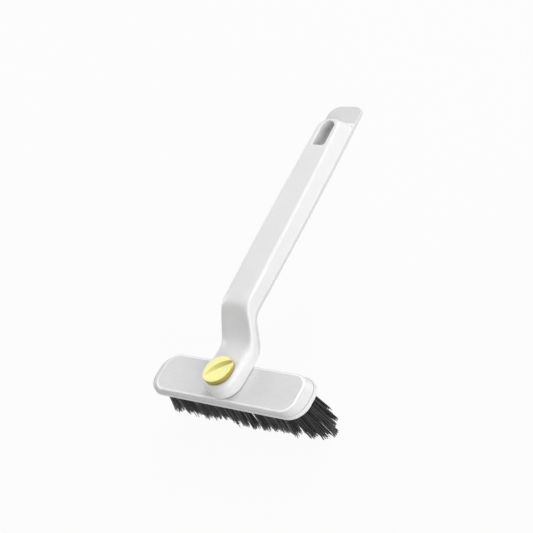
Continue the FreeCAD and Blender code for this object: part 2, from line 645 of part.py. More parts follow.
for side, x_name, back in (("right", "inner_first", False), ("left", "-inner_first", True)):
    inner_holes = sketch_on(base, "inner_holes_" + side + "_outline", "XY_Plane", "-Sizes.head_height")
    many_sided(inner_holes, TUFT_SIDES, "tuft_hole", x_name, "inner_row")
    many_sided(inner_holes, TUFT_SIDES, "tuft_hole", x_name, "-inner_row")
    first_holes = pocket(base, "inner_holes_" + side, inner_holes, "Sizes.hole_depth", True)
    reach = "Sizes.row_pitch * (Sizes.inner_count - 1)"
    row_pattern(base, "inner_hole_rows_" + side, first_holes, inner_holes, reach, "Sizes.inner_count", back)
end_holes = sketch_on(base, "end_holes_outline", "XY_Plane", "-Sizes.head_height")
for turn in END_TUFTS:
    tag = "abcde"[turn + 2]
    y_name = "0" if turn == 0 else ("-end_y_" + tag if turn < 0 else "end_y_" + tag)
    many_sided(end_holes, TUFT_SIDES, "tuft_hole", "end_x_" + tag, y_name)
    many_sided(end_holes, TUFT_SIDES, "tuft_hole", "-end_x_" + tag, y_name)
many_sided(end_holes, TUFT_SIDES, "tuft_hole", "core_x", "0")
many_sided(end_holes, TUFT_SIDES, "tuft_hole", "-core_x", "0")
pocket(base, "end_holes", end_holes, "Sizes.hole_depth", True)

# Bolt
bolt_hex = doc.addObject("Part::Prism", "bolt_hex")
bolt_hex.Polygon = 6
bind(bolt_hex, "Circumradius", "Sizes.bolt_hex / cos(30 deg)")
bind(bolt_hex, "Height", "Sizes.bolt_head")
bind(bolt_hex, "Placement.Base.z", "-Sizes.ceiling - Sizes.bolt_head")
bolt_shank = cylinder("bolt_shank", "Sizes.bolt_radius", "Sizes.bolt_top + Sizes.ceiling", "-Sizes.ceiling")
bolt = doc.addObject("Part::Fuse", "pivot_bolt")
bolt.Base = bolt_hex
bolt.Tool = bolt_shank
bolt.Label = "pivot_bolt"

# Handle shell: a drafted block cut by the side profile, with the boss in front and a rounded heel
shell = new_body("handle_moulding")
foot_outline = sketch_on(shell, "foot_outline", "XY_Plane")
crown_outline = sketch_on(shell, "crown_outline", "XY_Plane", "Sizes.top_level")
for sketch, level in ((foot_outline, "low"), (crown_outline, "high")):
    outline(sketch, [("-" + level + "_front", "plan_front"), (level + "_front", "plan_front"),
                     (level + "_knee", "plan_knee"), (level + "_end", "plan_end"),
                     ("-" + level + "_end", "plan_end"), ("-" + level + "_knee", "plan_knee")])
loft(shell, "handle_block", foot_outline, crown_outline)
crown = sketch_on(shell, "crown_profile", "YZ_Plane")
outline(crown, [("0", "crown_front_z"), ("grip_end_y", "grip_end_z"), ("grip_tail_y", "tail_meet_z"),
                ("far_y", "tail_meet_z"), ("far_y", "far_z"), ("0", "far_z")])
pocket_across(shell, "crown", crown)


def at_grip_end(box):
    tall = box.ZLength > 3 and box.YLength > 1 and abs(box.Center.x) > val("high_end") * 0.8
    return tall and box.YMin > val("grip_end_y") - 0.3


def on_crown(box):
    low = val("crown_front_z") + box.YMin * val("crown_slope")
    high = val("crown_front_z") + box.YMax * val("crown_slope")
    flush = abs(box.ZMin - low) < 0.05 and abs(box.ZMax - high) < 0.05
    return flush and box.YMin > val("plan_knee") - 0.1


fillet(shell, "grip_end", at_grip_end, "Sizes.end_round")
fillet(shell, "ridges", on_crown, "Sizes.ridge_round")


def roof(sketch, whole):
    left = "-boss_radius" if whole else "0"
    corners = [(left, "boss_gap"), ("boss_radius", "boss_gap"), ("boss_radius", "boss_side"),
               ("boss_flat", "boss_top"), ("-boss_flat" if whole else "0", "boss_top")]
    arcs = {2: (Vec(val("boss_flat"), val("boss_side"), 0), "boss_edge", 0, math.pi / 2)}
    if whole:
        corners.append(("-boss_radius", "boss_side"))
        arcs[4] = (Vec(-val("boss_flat"), val("boss_side"), 0), "boss_edge", math.pi / 2, math.pi)
    outline(sketch, corners, arcs)


dome_sketch = sketch_on(shell, "dome_profile", "XZ_Plane")
roof(dome_sketch, False)
dome = shell.newObject("PartDesign::Revolution", "boss_dome")
dome.Profile = dome_sketch
dome.ReferenceAxis = (dome_sketch, ["V_Axis"])
dome.Angle = 360
settle(dome)
bridge_sketch = sketch_on(shell, "bridge_profile", "XZ_Plane")
roof(bridge_sketch, True)
pad(shell, "boss_bridge", bridge_sketch, "Sizes.boss_back", True)
def heel_cut(body, name):
    sketch = sketch_on(body, name + "_profile", "YZ_Plane")
    centre = Vec(val("heel_near"), val("boss_gap") + val("heel_round"), 0)
    stop = math.atan(val("riser_slope")) - math.pi / 2
    outline(sketch, [("heel_near", "boss_gap"), ("heel_far", "heel_far_z"), ("past_foot", "boss_gap"),
                     ("past_foot", "-under_z"), ("heel_near", "-under_z")],
            {0: (centre, "heel_round", -math.pi / 2, stop)})
    pocket_across(body, name, sketch)


sole = sketch_on(shell, "sole_profile", "YZ_Plane")
outline(sole, [("0", "boss_gap"), ("heel_y", "boss_gap"), ("meet_y", "meet_z"), ("far_y", "far_meet_z"),
               ("far_y", "-under_z"), ("0", "-under_z")])
pocket_across(shell, "sole", sole)
fillet(shell, "sole_bend", runs_across("meet_y", "meet_z"), "Sizes.plate_round")
heel_cut(shell, "heel")

# Pivot seat in the boss; the end walls of the stop are parallel to the lug at its two limits
bore = sketch_on(shell, "post_bore_outline", "XY_Plane", "Sizes.boss_gap")
disc(bore, "Sizes.post_radius + Sizes.pivot_play")
pocket(shell, "post_bore", bore, "Sizes.web_low - Sizes.boss_gap", True)
stop = sketch_on(shell, "stop_outline", "XY_Plane", "Sizes.boss_gap")
stop_reach = math.hypot(val("lug_reach"), val("lug_half")) + val("stop_play")
stop_half = val("lug_half") + val("stop_play")
stop_root = val("post_radius") - val("lug_half")
stop_along = math.sqrt(stop_reach ** 2 - stop_half ** 2)
rim_points = []
root_points = []
for side in (-1, 1):
    angle = math.radians(side * val("swing"))
    radial = Vec(math.sin(angle), -math.cos(angle), 0)
    sideways = Vec(math.cos(angle), math.sin(angle), 0) * (side * stop_half)
    rim_points.append(radial * stop_along + sideways)
    root_points.append(radial * stop_root + sideways)
stop.addGeometry(Part.LineSegment(root_points[0], rim_points[0]), False)
stop.addGeometry(Part.Arc(rim_points[0], Vec(0, -stop_reach, 0), rim_points[1]), False)
stop.addGeometry(Part.LineSegment(rim_points[1], root_points[1]), False)
stop.addGeometry(Part.LineSegment(root_points[1], root_points[0]), False)
join_ends(stop, 4)
pocket(shell, "stop_pocket", stop, "Sizes.web_low - Sizes.boss_gap", True)
ring_recess = sketch_on(shell, "ring_recess_outline", "XY_Plane", "Sizes.boss_gap")
disc(ring_recess, "Sizes.ring_outer + Sizes.ring_fit")
disc(ring_recess, "Sizes.ring_inner - Sizes.ring_fit")
pocket(shell, "ring_recess", ring_recess, "Sizes.ring_depth", True)
web_hole = sketch_on(shell, "web_hole_outline", "XY_Plane", "Sizes.boss_top")
disc(web_hole, "Sizes.bolt_hole")
pocket(shell, "web_hole", web_hole, "Sizes.boss_top - Sizes.web_low")
seat = sketch_on(shell, "seat_outline", "XY_Plane", "Sizes.boss_top")
disc(seat, "Sizes.seat_radius")
pocket(shell, "seat", seat, "Sizes.boss_top - Sizes.web_high")


def at_slot_corner(box):
    near = abs(box.Center.y - val("slot_low")) < 0.1 and abs(abs(box.Center.x) - val("slot_half")) < 0.1
    return near and box.ZLength > val("plate_thick") / 2


def slot_cut(body, name):
    sketch = sketch_on(body, name + "_outline", "XY_Plane", "Sizes.far_z")
    corners = [("-slot_half", "slot_high"), ("-slot_half", "slot_low"), ("slot_half", "slot_low"),
               ("slot_half", "slot_high")]
    points = [Vec(named(x), named(y), 0) for x, y in corners]
    for k in range(3):
        sketch.addGeometry(Part.LineSegment(points[k], points[k + 1]), False)
    arc_piece(sketch, Vec(0, val("slot_high"), 0), val("slot_half"), 0, math.pi)
    join_ends(sketch, 4)
    for k in range(4):
        fix_point(sketch, k, 1, corners[k][0], corners[k][1])
    fix_point(sketch, 3, 3, None, "slot_high")
    pocket(body, name, sketch, "Sizes.far_z")
    fillet(body, name + "_corners", at_slot_corner, "Sizes.slot_corner")


slot_cut(shell, "hang_slot")


def on_slot_rim(box):
    return on_crown(box) and abs(box.Center.x) < val("slot_half") + 0.1 and box.YMin > val("slot_low") - 0.1


fillet(shell, "slot_rim", on_slot_rim, "Sizes.rim_round")
hollow = sketch_on(shell, "hollow_profile", "YZ_Plane")
outline(hollow, [("hollow_start", "under_grip"), ("hollow_end", "under_grip"), ("hollow_end", "hollow_end_z"),
                 ("hollow_start", "hollow_start_z")])
pocket_across(shell, "hollow", hollow, "2 * Sizes.hollow_half")
BACK_SCREWS = (("back_near", "near_z"), ("back_far", "far_screw_z"))
for y_name, z_name in BACK_SCREWS:
    sketch = sketch_on(shell, "pilot_%s_outline" % y_name, "XY_Plane", "Sizes.under_grip")
    disc(sketch, "Sizes.back_shank + Sizes.screw_play", "0", y_name)
    depth = "Sizes.%s + Sizes.back_grip + Sizes.screw_spare - Sizes.under_grip" % z_name
    pocket(shell, "pilot_" + y_name, sketch, depth, True)


# Front of the riser: one smooth skin from the boss over the bend to the grip, drawn from a net of
# control points. Each row is one place along the handle: Y, height, roundness of its edges, depth of the dish.
def block_half(level, y):
    names = ("front", "knee") if y < val("plan_knee") else ("knee", "end")
    y_start, y_stop = (val("plan_" + name) for name in names)
    start, stop = (val(level + "_" + name) for name in names)
    return start + (stop - start) * (y - y_start) / (y_stop - y_start)


def net_row(y, z, ease, dish=0.0):
    low = block_half("low", y)
    draft = (low - block_half("high", y)) / val("top_level")
    half = low - draft * z
    spots = [(half + 2 * draft * ease + val("skin_past"), 0.0, -2 * ease),
             (half + draft * ease + val("skin_clear"), 0.0, -ease),
             (half, 0.0, 0.0), (half - ease, val("dish_even") * dish, 0.0)]
    row = [Vec(-x, y + shift, z + drop) for x, shift, drop in spots]
    row.append(Vec(0, y + dish, z))
    row.extend(Vec(x, y + shift, z + drop) for x, shift, drop in reversed(spots))
    return row


def on_riser(share):
    y = val("riser_y") + (val("bend_y") - val("riser_y")) * share
    return y, val("boss_top") + (val("bend_z") - val("boss_top")) * share


def on_grip(y):
    return y, val("crown_front_z") + y * val("crown_slope") - val("skin_under")


steep = math.sqrt(1 + val("riser_rise") ** 2)
roof_z = val("boss_top") + val("skin_step")
grip_start = val("bend_y") + val("bend_ease")
net = [net_row(val("plan_front") - val("beyond"), roof_z, val("boss_ease")),
       net_row(val("plan_front") - val("beyond") / 3, roof_z, val("boss_ease")),
       net_row(val("riser_y") - val("foot_ease"), roof_z, val("boss_ease")),
       net_row(val("riser_y"), roof_z, val("boss_ease"), val("dish_foot")),
       net_row(*on_riser(1 / 3), val("ridge_ease") * steep, val("dish_low")),
       net_row(*on_riser(2 / 3), val("ridge_ease") * steep, val("dish_high")),
       net_row(val("bend_y"), val("bend_z"), val("ridge_ease") * val("bend_soft"), val("dish_bend")),
       net_row(*on_grip(grip_start), val("ridge_ease")),
       net_row(*on_grip((grip_start + val("skin_end")) / 2), val("ridge_ease")),
       net_row(*on_grip(val("skin_end")), val("ridge_ease"))]


def clamped(count):
    spans = count - 3
    return [4] + [1] * (spans - 1) + [4], [k / spans for k in range(spans + 1)]


rows_mults, rows_knots = clamped(len(net))
span_mults, span_knots = clamped(len(net[0]))
skin = Part.BSplineSurface()
skin.buildFromPolesMultsKnots(net, rows_mults, span_mults, rows_knots, span_knots, False, False, 3, 3)
riser_skin = doc.addObject("Part::Feature", "riser_skin")
riser_skin.Shape = skin.toShape().extrude(Vec(0, 0, val("far_z")))
handle = cut_part("handle_shell", shell, riser_skin)

# Back plate with the scraper tab
plate = new_body("handle_back_plate")
plate_foot = sketch_on(plate, "plate_foot_outline", "XY_Plane")
plate_crown = sketch_on(plate, "plate_crown_outline", "XY_Plane", "Sizes.top_level")
for sketch, level in ((plate_foot, "low"), (plate_crown, "high")):
    corners = [("-plate_%s_front", "plan_front"), ("plate_%s_front", "plan_front"),
               ("plate_%s_knee", "plan_knee"), ("tab_%s_x", "tab_%s_y"), ("tab_%s_end", "tail_y"),
               ("-tab_%s_end", "tail_y"), ("-tab_%s_x", "tab_%s_y"), ("-plate_%s_knee", "plan_knee")]
    corners = [(x.replace("%s", level), y.replace("%s", level)) for x, y in corners]
    right = Vec(named(corners[4][0]), val("tail_y") - val("tab_corner"), 0)
    left = Vec(-right.x, right.y, 0)
    start = math.atan2(named(corners[3][1]) - right.y, named(corners[3][0]) - right.x)
    outline(sketch, corners, {3: (right, "tab_corner", start, math.pi / 2),
                              5: (left, "tab_corner", math.pi / 2, math.pi - start)})
loft(plate, "plate_block", plate_foot, plate_crown)
over = sketch_on(plate, "plate_top_profile", "YZ_Plane")
outline(over, [("0", "boss_gap"), ("heel_y", "boss_gap"), ("meet_y", "meet_z"), ("far_y", "far_meet_z"),
               ("far_y", "far_z"), ("0", "far_z")])
pocket_across(plate, "plate_top", over)
under = sketch_on(plate, "plate_under_profile", "YZ_Plane")
outline(under, [("0", "boss_gap"), ("foot_y", "boss_gap"), ("knee_y", "knee_z"), ("far_y", "far_knee_z"),
                ("far_y", "-under_z"), ("0", "-under_z")])
pocket_across(plate, "plate_under", under)
fillet(plate, "plate_bend", runs_across("meet_y", "meet_z"), "Sizes.plate_round")
fillet(plate, "plate_knee", runs_across("knee_y", "knee_z"), "Sizes.knee_round")
heel_cut(plate, "plate_heel")
bevel = sketch_on(plate, "bevel_profile", "YZ_Plane")
outline(bevel, [("bevel_y", "bevel_z"), ("far_y", "bevel_far_z"), ("far_y", "far_z"), ("bevel_y", "far_z")])
pocket_across(plate, "scraper_bevel", bevel)
slot_cut(plate, "plate_slot")
for y_name, z_name in BACK_SCREWS:
    sketch = sketch_on(plate, "clear_%s_outline" % y_name, "XY_Plane", "Sizes.under_grip")
    disc(sketch, "Sizes.back_shank + Sizes.screw_clear", "0", y_name)
    pocket(plate, "clear_" + y_name, sketch, "Sizes.%s + Sizes.wall - Sizes.under_grip" % z_name, True)
    sketch = sketch_on(plate, "sink_%s_outline" % y_name, "XY_Plane", "Sizes.under_grip")
    disc(sketch, "Sizes.back_head + Sizes.screw_clear", "0", y_name)
    floor_level = "Sizes.%s - Sizes.plate_drop + Sizes.back_sunk + Sizes.back_head_high" % z_name
    pocket(plate, "sink_" + y_name, sketch, floor_level + " - Sizes.under_grip", True)

# Washers under the knob and under the boss
swivel_washer = ring("swivel_washer", "Sizes.ring_inner", "Sizes.ring_outer",
                     "Sizes.boss_gap + Sizes.ring_depth - Sizes.ring_play", "Sizes.ring_play")
spring_washer = ring("spring_washer", "Sizes.bolt_hole", "Sizes.seat_radius - Sizes.spring_step",
                     "Sizes.spring_thick", "Sizes.web_high")
knob_washer = ring("knob_washer", "Sizes.bolt_hole", "Sizes.seat_radius - Sizes.washer_step",
                   "Sizes.washer_thick", "Sizes.web_high + Sizes.spring_thick")

# Knob
knob = new_body("lock_knob")


def knob_sketch(name, level):
    sketch = sketch_on(knob, name, "XY_Plane")
    turned = FreeCAD.Rotation(Vec(0, 0, 1), val("knob_angle"))
    sketch.AttachmentOffset = FreeCAD.Placement(Vec(0, 0, 0), turned)
    bind(sketch, "AttachmentOffset.Base.z", level)
    return sketch


leaf = knob_sketch("knob_outline", "Sizes.knob_level")
leaf_drop = val("knob_bow") - val("knob_short")
leaf_turn = math.atan2(leaf_drop, val("knob_long"))
outline(leaf, [("knob_long", "0"), ("-knob_long", "0")],
        {0: (Vec(0, -leaf_drop, 0), "knob_bow", leaf_turn, math.pi - leaf_turn),
         1: (Vec(0, leaf_drop, 0), "knob_bow", math.pi + leaf_turn, 2 * math.pi - leaf_turn)})
pad(knob, "knob_disc", leaf, "Sizes.knob_high")
fillet(knob, "knob_ends", lambda box: box.ZLength > 1 and box.XLength + box.YLength < 0.01, "Sizes.knob_tip")
knob_crown = val("knob_level") + val("knob_high")
chamfer(knob, "knob_rim", lambda box: box.ZMin > knob_crown - 0.01, "Sizes.knob_edge")
groove = knob_sketch("groove_outline", "Sizes.knob_level + Sizes.knob_high")
groove_corners = [("groove_end", "groove_far_end"), ("-groove_tip", "groove_far_tip"),
                  ("-groove_tip", "-groove_near_tip"), ("groove_end", "-groove_near_end")]
far_end, far_tip, near_tip, near_end = [Vec(named(x), named(y), 0) for x, y in groove_corners]
groove.addGeometry(Part.Arc(far_end, Vec(0, val("groove_bow"), 0), far_tip), False)
groove.addGeometry(Part.LineSegment(far_tip, near_tip), False)
groove.addGeometry(Part.Arc(near_tip, Vec(0, -val("groove_sag"), 0), near_end), False)
groove.addGeometry(Part.LineSegment(near_end, far_end), False)
join_ends(groove, 4)
for k in range(4):
    fix_point(groove, k, 1, groove_corners[k][0], groove_corners[k][1])
pocket(knob, "finger_groove", groove, "Sizes.groove_depth")
knob_hub = sketch_on(knob, "knob_hub_outline", "XY_Plane", "Sizes.knob_level")
disc(knob_hub, "Sizes.seat_radius - Sizes.knob_play")
pad(knob, "knob_hub", knob_hub, "Sizes.knob_level - Sizes.hub_low", True)
socket = sketch_on(knob, "insert_socket_outline", "XY_Plane", "Sizes.hub_low")
disc(socket, "Sizes.insert_radius + Sizes.insert_play")
pocket(knob, "insert_socket", socket, "Sizes.insert_high + Sizes.insert_play", True)
insert = ring("knob_insert", "Sizes.bolt_radius + Sizes.thread_play", "Sizes.insert_radius",
              "Sizes.insert_high", "Sizes.hub_low")


# Groups of like pieces: one object that holds separate solids
def group(name, solids):
    made = doc.addObject("Part::Feature", name)
    made.Label = name
    singles = []
    for shape in solids:
        singles.extend(shape.Solids)
    made.Shape = Part.makeCompound(singles)
    return made


def screw(x, y, low, high, prefix):
    head = Part.makeCylinder(val(prefix + "_head"), val(prefix + "_head_high"), Vec(x, y, low))
    shank = Part.makeCylinder(val(prefix + "_shank"), high - low, Vec(x, y, low))
    return head.fuse(shank).removeSplitter()


back_list = []
for y_name, z_name in BACK_SCREWS:
    low = val(z_name) - val("plate_drop") + val("back_sunk")
    back_list.append(screw(0, val(y_name), low, val(z_name) + val("back_grip"), "back"))
back_plate_screws = group("back_plate_screws", back_list)
base_list = []
for x_name in SCREW_PLACES:
    base_list.append(screw(named(x_name), 0, -val("head_height"), -val("screw_tip"), "screw"))
base_screws = group("base_screws", base_list)

# Bristle tufts, trimmed to a V so that the middle rows reach into a joint between tiles
HOLE_TOP = val("hole_depth") - val("head_height")
TUFT_TOP = HOLE_TOP - val("anchor_height") - val("anchor_gap")
MOUTH = -val("head_height")
POINT = -val("trim_depth")


def ring_of_corners(x, y, z, radius):
    turns = [2 * math.pi * k / TUFT_SIDES for k in range(TUFT_SIDES)]
    return [Vec(x + radius * math.cos(turn), y + radius * math.sin(turn), z) for turn in turns]


# Share of the way from the mouth to the level of the point where a corner line meets the V
def trim_share(start, stop, side):
    if side == 0:
        return 1.0
    slope = val("trim_slope") * side
    return (POINT + slope * start.y - start.z) / (stop.z - start.z - slope * (stop.y - start.y))


def tuft(x, y, tip_x, tip_y):
    top = ring_of_corners(x, y, TUFT_TOP, val("tuft_radius"))
    mouth = ring_of_corners(x, y, MOUTH, val("tuft_radius"))
    reach = ring_of_corners(tip_x, tip_y, POINT, val("tuft_spread"))
    side = (y > 0) - (y < 0)
    tip = [a + (b - a) * trim_share(a, b, side) for a, b in zip(mouth, reach)]
    faces = [Part.Face(Part.makePolygon(top + top[:1])), Part.Face(Part.makePolygon(tip + tip[:1]))]
    for upper, lower in ((top, mouth), (mouth, tip)):
        for k in range(TUFT_SIDES):
            later = (k + 1) % TUFT_SIDES
            walls = [upper[k], lower[k], lower[later], upper[later], upper[k]]
            faces.append(Part.Face(Part.makePolygon(walls)))
    solid = Part.Solid(Part.Shell(faces))
    solid.fix(0.001, 0.001, 0.001)
    return solid


def anchor(x, y):
    length = 2 * (val("tuft_hole") * math.cos(math.pi / TUFT_SIDES) - val("anchor_play"))
    width = val("anchor_width")
    corner = Vec(x - width / 2, y - length / 2, HOLE_TOP - val("anchor_height"))
    return Part.makeBox(width, length, val("anchor_height"), corner)


rows = {"tufts_front_row": [], "tufts_back_row": [], "tufts_inner_front_row": [], "tufts_inner_back_row": [],
        "tufts_left_end": [], "tufts_right_end": []}
anchors = []


def plant(row, x, y, tip_x, tip_y):
    rows[row].append(tuft(x, y, tip_x, tip_y))
    anchors.append(anchor(x, y))


for side, place in ((-1, "front"), (1, "back")):
    for k in range(int(val("row_count"))):
        x = -val("row_start") + k * val("row_pitch")
        plant("tufts_%s_row" % place, x, side * val("outer_row"), x, side * val("outer_row"))
    for way in (-1, 1):
        for k in range(int(val("inner_count"))):
            x = way * (val("inner_first") + k * val("row_pitch"))
            plant("tufts_inner_%s_row" % place, x, side * val("inner_row"), x, side * val("inner_tip"))
for way, row in ((-1, "tufts_left_end"), (1, "tufts_right_end")):
    for turn in END_TUFTS:
        tag = "abcde"[turn + 2]
        x = way * val("end_x_" + tag)
        y = val("end_y_" + tag) * ((turn > 0) - (turn < 0))
        flare = way * val("end_flare") * math.cos(math.radians(val("end_step") * turn))
        plant(row, x, y, x + flare, y * val("end_widen"))
    plant(row, way * val("core_x"), 0, way * (val("core_x") + val("core_flare")), 0)
tuft_nodes = [group(name, solids) for name, solids in rows.items()]
tuft_anchors = group("tuft_anchors", anchors)

# Placing: the middle of the box in plan over the origin, the longest tips on z = 0
nodes = [handle, plate, back_plate_screws, swivel_washer, spring_washer, knob_washer, knob, insert, bolt, cover,
         base, base_screws, tuft_anchors] + tuft_nodes
for node in nodes:
    bind(node, "Placement.Base.y", "Sizes.shift_y")
    bind(node, "Placement.Base.z", "Sizes.trim_depth")
doc.recompute()

# Checks and files
for item in doc.Objects:
    if "Invalid" in item.State or "Error" in item.State:
        raise RuntimeError("failed: " + item.Label + " " + str(item.State))
for node in nodes:
    if node.Shape.isNull() or not node.Shape.isValid() or not node.Shape.Solids:
        raise RuntimeError("bad shape: " + node.Label)
os.makedirs("parts", exist_ok=True)
for node in nodes:
    node.Shape.exportStep("parts/" + node.Label + ".step")
    print(node.Label, len(node.Shape.Solids), "solids", round(node.Shape.Volume, 1), "mm3")
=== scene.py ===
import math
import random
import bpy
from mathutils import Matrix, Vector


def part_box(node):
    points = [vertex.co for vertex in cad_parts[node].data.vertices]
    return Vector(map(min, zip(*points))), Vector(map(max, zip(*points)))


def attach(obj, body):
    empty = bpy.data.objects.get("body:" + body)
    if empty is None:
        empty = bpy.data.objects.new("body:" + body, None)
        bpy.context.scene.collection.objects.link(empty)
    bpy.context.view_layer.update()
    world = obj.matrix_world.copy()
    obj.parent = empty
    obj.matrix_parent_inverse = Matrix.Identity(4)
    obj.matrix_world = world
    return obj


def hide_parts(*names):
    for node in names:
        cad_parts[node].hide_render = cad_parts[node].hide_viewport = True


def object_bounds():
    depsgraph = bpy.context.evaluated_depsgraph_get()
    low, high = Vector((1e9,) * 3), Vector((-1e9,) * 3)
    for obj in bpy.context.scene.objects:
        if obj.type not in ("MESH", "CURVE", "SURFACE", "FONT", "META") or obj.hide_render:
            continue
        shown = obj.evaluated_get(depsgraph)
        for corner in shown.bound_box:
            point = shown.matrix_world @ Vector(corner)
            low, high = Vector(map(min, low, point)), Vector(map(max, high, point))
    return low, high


bl_info = {
    "name": "Grout Brush",
    "version": (1, 0, 0),
    "blender": (4, 5, 0),
    "location": "View3D > Sidebar > Grout Brush",
    "description": "Bristles, finishes, light and camera for the grout brush",
    "category": "Object",
}

import bpy
from bpy.props import FloatProperty, FloatVectorProperty, IntProperty, PointerProperty
from mathutils import Matrix, Vector

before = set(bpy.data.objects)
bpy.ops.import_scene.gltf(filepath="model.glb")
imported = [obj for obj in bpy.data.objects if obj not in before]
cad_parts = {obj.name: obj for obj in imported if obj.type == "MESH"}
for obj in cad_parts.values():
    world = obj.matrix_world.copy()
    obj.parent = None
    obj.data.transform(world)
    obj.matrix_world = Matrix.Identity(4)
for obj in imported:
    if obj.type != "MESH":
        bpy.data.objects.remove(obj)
CAD_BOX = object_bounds()

# Camera: its place, and where the right and the bottom of its picture point
CAMERA_PLACE = (0.56754, -0.40689, 0.61861)
CAMERA_RIGHT = (0.76215, 0.45548, -0.46007)
CAMERA_DOWN = (0.08579, -0.77544, -0.62557)
SENSOR_WIDTH = 36.0
NEAREST_SEEN = 0.01

# Lamps: name, place, width and power
LAMPS = (
    ("above_behind", (0.1, 1.0, 1.1), 1.0, 14.4),
    ("right", (1.267, 0.34, 0.727), 0.8, 6.4),
    ("right_front", (1.1, -0.8, 0.4), 0.8, 11.2),
    ("left", (-1.25, -0.1, 0.6), 0.8, 7.7),
)
LAMP_TARGET = (0.0, 0.0, 0.04)
FLOOR_HALF = 3.0
FLOOR_ROUGHNESS = 0.9
WHITE = (1.0, 1.0, 1.0, 1.0)

# Heights on the head between which its painted highlight along the panel's rim and its painted shade along
# the seam fade in or out
RIM_FADES_IN = (0.0395, 0.03968)
RIM_FADES_OUT = (0.03999, 0.03992)
SEAM_FADES_IN = (0.03645, 0.03658)

TUFT_NODES = ("tufts_front_row", "tufts_back_row", "tufts_inner_front_row", "tufts_inner_back_row",
              "tufts_left_end", "tufts_right_end")
FIRST_SEED = 100
SAME_LEVEL = 1e-5
BELOW_MOUTH = 1e-4

# Filaments: angle from one to the next, depth in the hole, places of their bends, sides of the tube,
# share of its width at the tip, and how many radii they keep from the CAD box
GOLDEN_ANGLE = 2.39996
ROOT = 0.0012
BENDS = (0.0, 0.3, 0.6, 0.82, 1.0)
SIDES = 4
TIP_WIDTH = 0.6
BOX_MARGIN = 1.3

# Spread of the filaments: angle, lean at the ends, width, and cut, where a few are far too short or long
JITTER = 0.3
LEAN_RANGE = (0.6, 1.25)
WIDTH_RANGE = (0.85, 1.15)
CUT_RANGE = (-1.0, 0.5)
SHORT_BELOW = 0.1
SHORT_RANGE = (0.5, 2.2)
LONG_ABOVE = 0.93
LONG_RANGE = (0.3, 1.0)
INNER_STRAY = 0.3

# Share of a filament's shade that comes from its side of the tuft
CLUMP_SHARE = 0.35


def length_prop(name, description, default):
    return FloatProperty(name=name, description=description, default=default, unit="LENGTH", precision=5)


def share_prop(name, description, default):
    return FloatProperty(name=name, description=description, default=default, subtype="FACTOR")


def colour_prop(name, description, default):
    return FloatVectorProperty(name=name, description=description, default=default, size=3, min=0.0, max=1.0,
                               subtype="COLOR")


class BristleSettings(bpy.types.PropertyGroup):
    """Filaments of the tufts"""
    per_tuft: IntProperty(name="Filaments per tuft", description="Filaments planted in each hole", default=33)
    thickness: length_prop("Thickness", "Radius of a filament", 0.00032)
    ragged: length_prop("Ragged tips", "How much the lengths of neighbouring filaments differ", 0.0016)
    stray: length_prop("Stray", "How far filaments bend out of their tuft", 0.00045)
    splay: length_prop("Splay", "How far the tufts at the two ends lean out further at their tips", 0.0036)
    row_flare: share_prop("Flare of the rows", "Width of a tuft's tips in the rows, next to its solid", 1.2)
    end_flare: share_prop("Flare of the ends", "Width of a tuft's tips at the ends, next to its solid", 1.25)
    flat_cut: share_prop("Flat cut", "Share of the V that the tips of one tuft leave out", 0.6)
    dark: colour_prop("Dark filaments", "Colour of the darkest filaments", (0.004, 0.004, 0.004))
    light: colour_prop("Light filaments", "Colour of the lightest filaments", (0.06, 0.06, 0.06))


class FinishSettings(bpy.types.PropertyGroup):
    """Colours and grain of the moulded pieces and the metal"""
    handle: colour_prop("Handle", "White of the handle", (0.78, 0.78, 0.785))
    plate: colour_prop("Back plate", "White of the back plate", (0.64, 0.64, 0.645))
    cover: colour_prop("Head cover", "White of the head cover", (0.72, 0.72, 0.725))
    base: colour_prop("Bristle base", "White of the bristle base", (0.76, 0.76, 0.765))
    knob: colour_prop("Knob", "Yellow of the knob's face", (0.97, 0.93, 0.38))
    # Painted shade: the knob's yellow as it looks in shade on its side and in its groove
    knob_wall_shade: colour_prop("Knob walls", "Deep yellow of the knob's side and groove", (0.38, 0.3, 0.06))
    # Painted highlight: the white that sharp edges and the rim of the head's panel are lightened to
    edge: colour_prop("Edges", "White of the highlit edges", (0.93, 0.93, 0.93))
    brass: colour_prop("Brass", "Brass of the knob's insert", (0.75, 0.53, 0.2))
    steel: colour_prop("Steel", "Steel of the bolt, screws and washers", (0.56, 0.56, 0.58))
    wire: colour_prop("Anchor wire", "Wire of the tuft anchors", (0.6, 0.6, 0.62))
    nylon: colour_prop("Nylon", "Nylon of the swivel washer", (0.7, 0.69, 0.66))
    grain: length_prop("Grain", "Depth of the moulded grain", 0.00003)


class KnobSettings(bpy.types.PropertyGroup):
    """Shape of the lock knob"""
    long: length_prop("Half length", "Knob from its middle to a tip", 0.0106)
    short: length_prop("Half width", "Knob from its middle to a side", 0.0095)
    angle: FloatProperty(name="Angle", description="Turn of the knob's length from the head's",
                         default=math.radians(45.0), subtype="ANGLE")
    bow: length_prop("Groove bow", "Upper edge of the groove from the knob's middle", 0.00375)
    foot: length_prop("Groove foot", "Foot of the groove's wall from the knob's middle", 0.00115)
    depth: length_prop("Groove depth", "Deepest place of the groove", 0.0018)
    under: length_prop("Underside", "Height of the knob's underside", 0.0506)
    hub: length_prop("Hub", "Radius of the hub in the boss", 0.00652)
    socket: length_prop("Socket", "Radius of the hole for the insert", 0.00402)
    socket_end: length_prop("Socket end", "Height of the end of that hole", 0.05087)


class StageSettings(bpy.types.PropertyGroup):
    """Floor, light and camera"""
    lens: FloatProperty(name="Lens", description="Focal length on a 36 mm sensor", default=96.28,
                        unit="CAMERA")
    floor: colour_prop("Floor", "Colour of the floor", (0.4, 0.4, 0.4))
    floor_white: share_prop("White floor", "Share of plain white in the floor that the camera sees", 0.95)
    sky: FloatProperty(name="Sky", description="Strength of the light from all around", default=0.15)


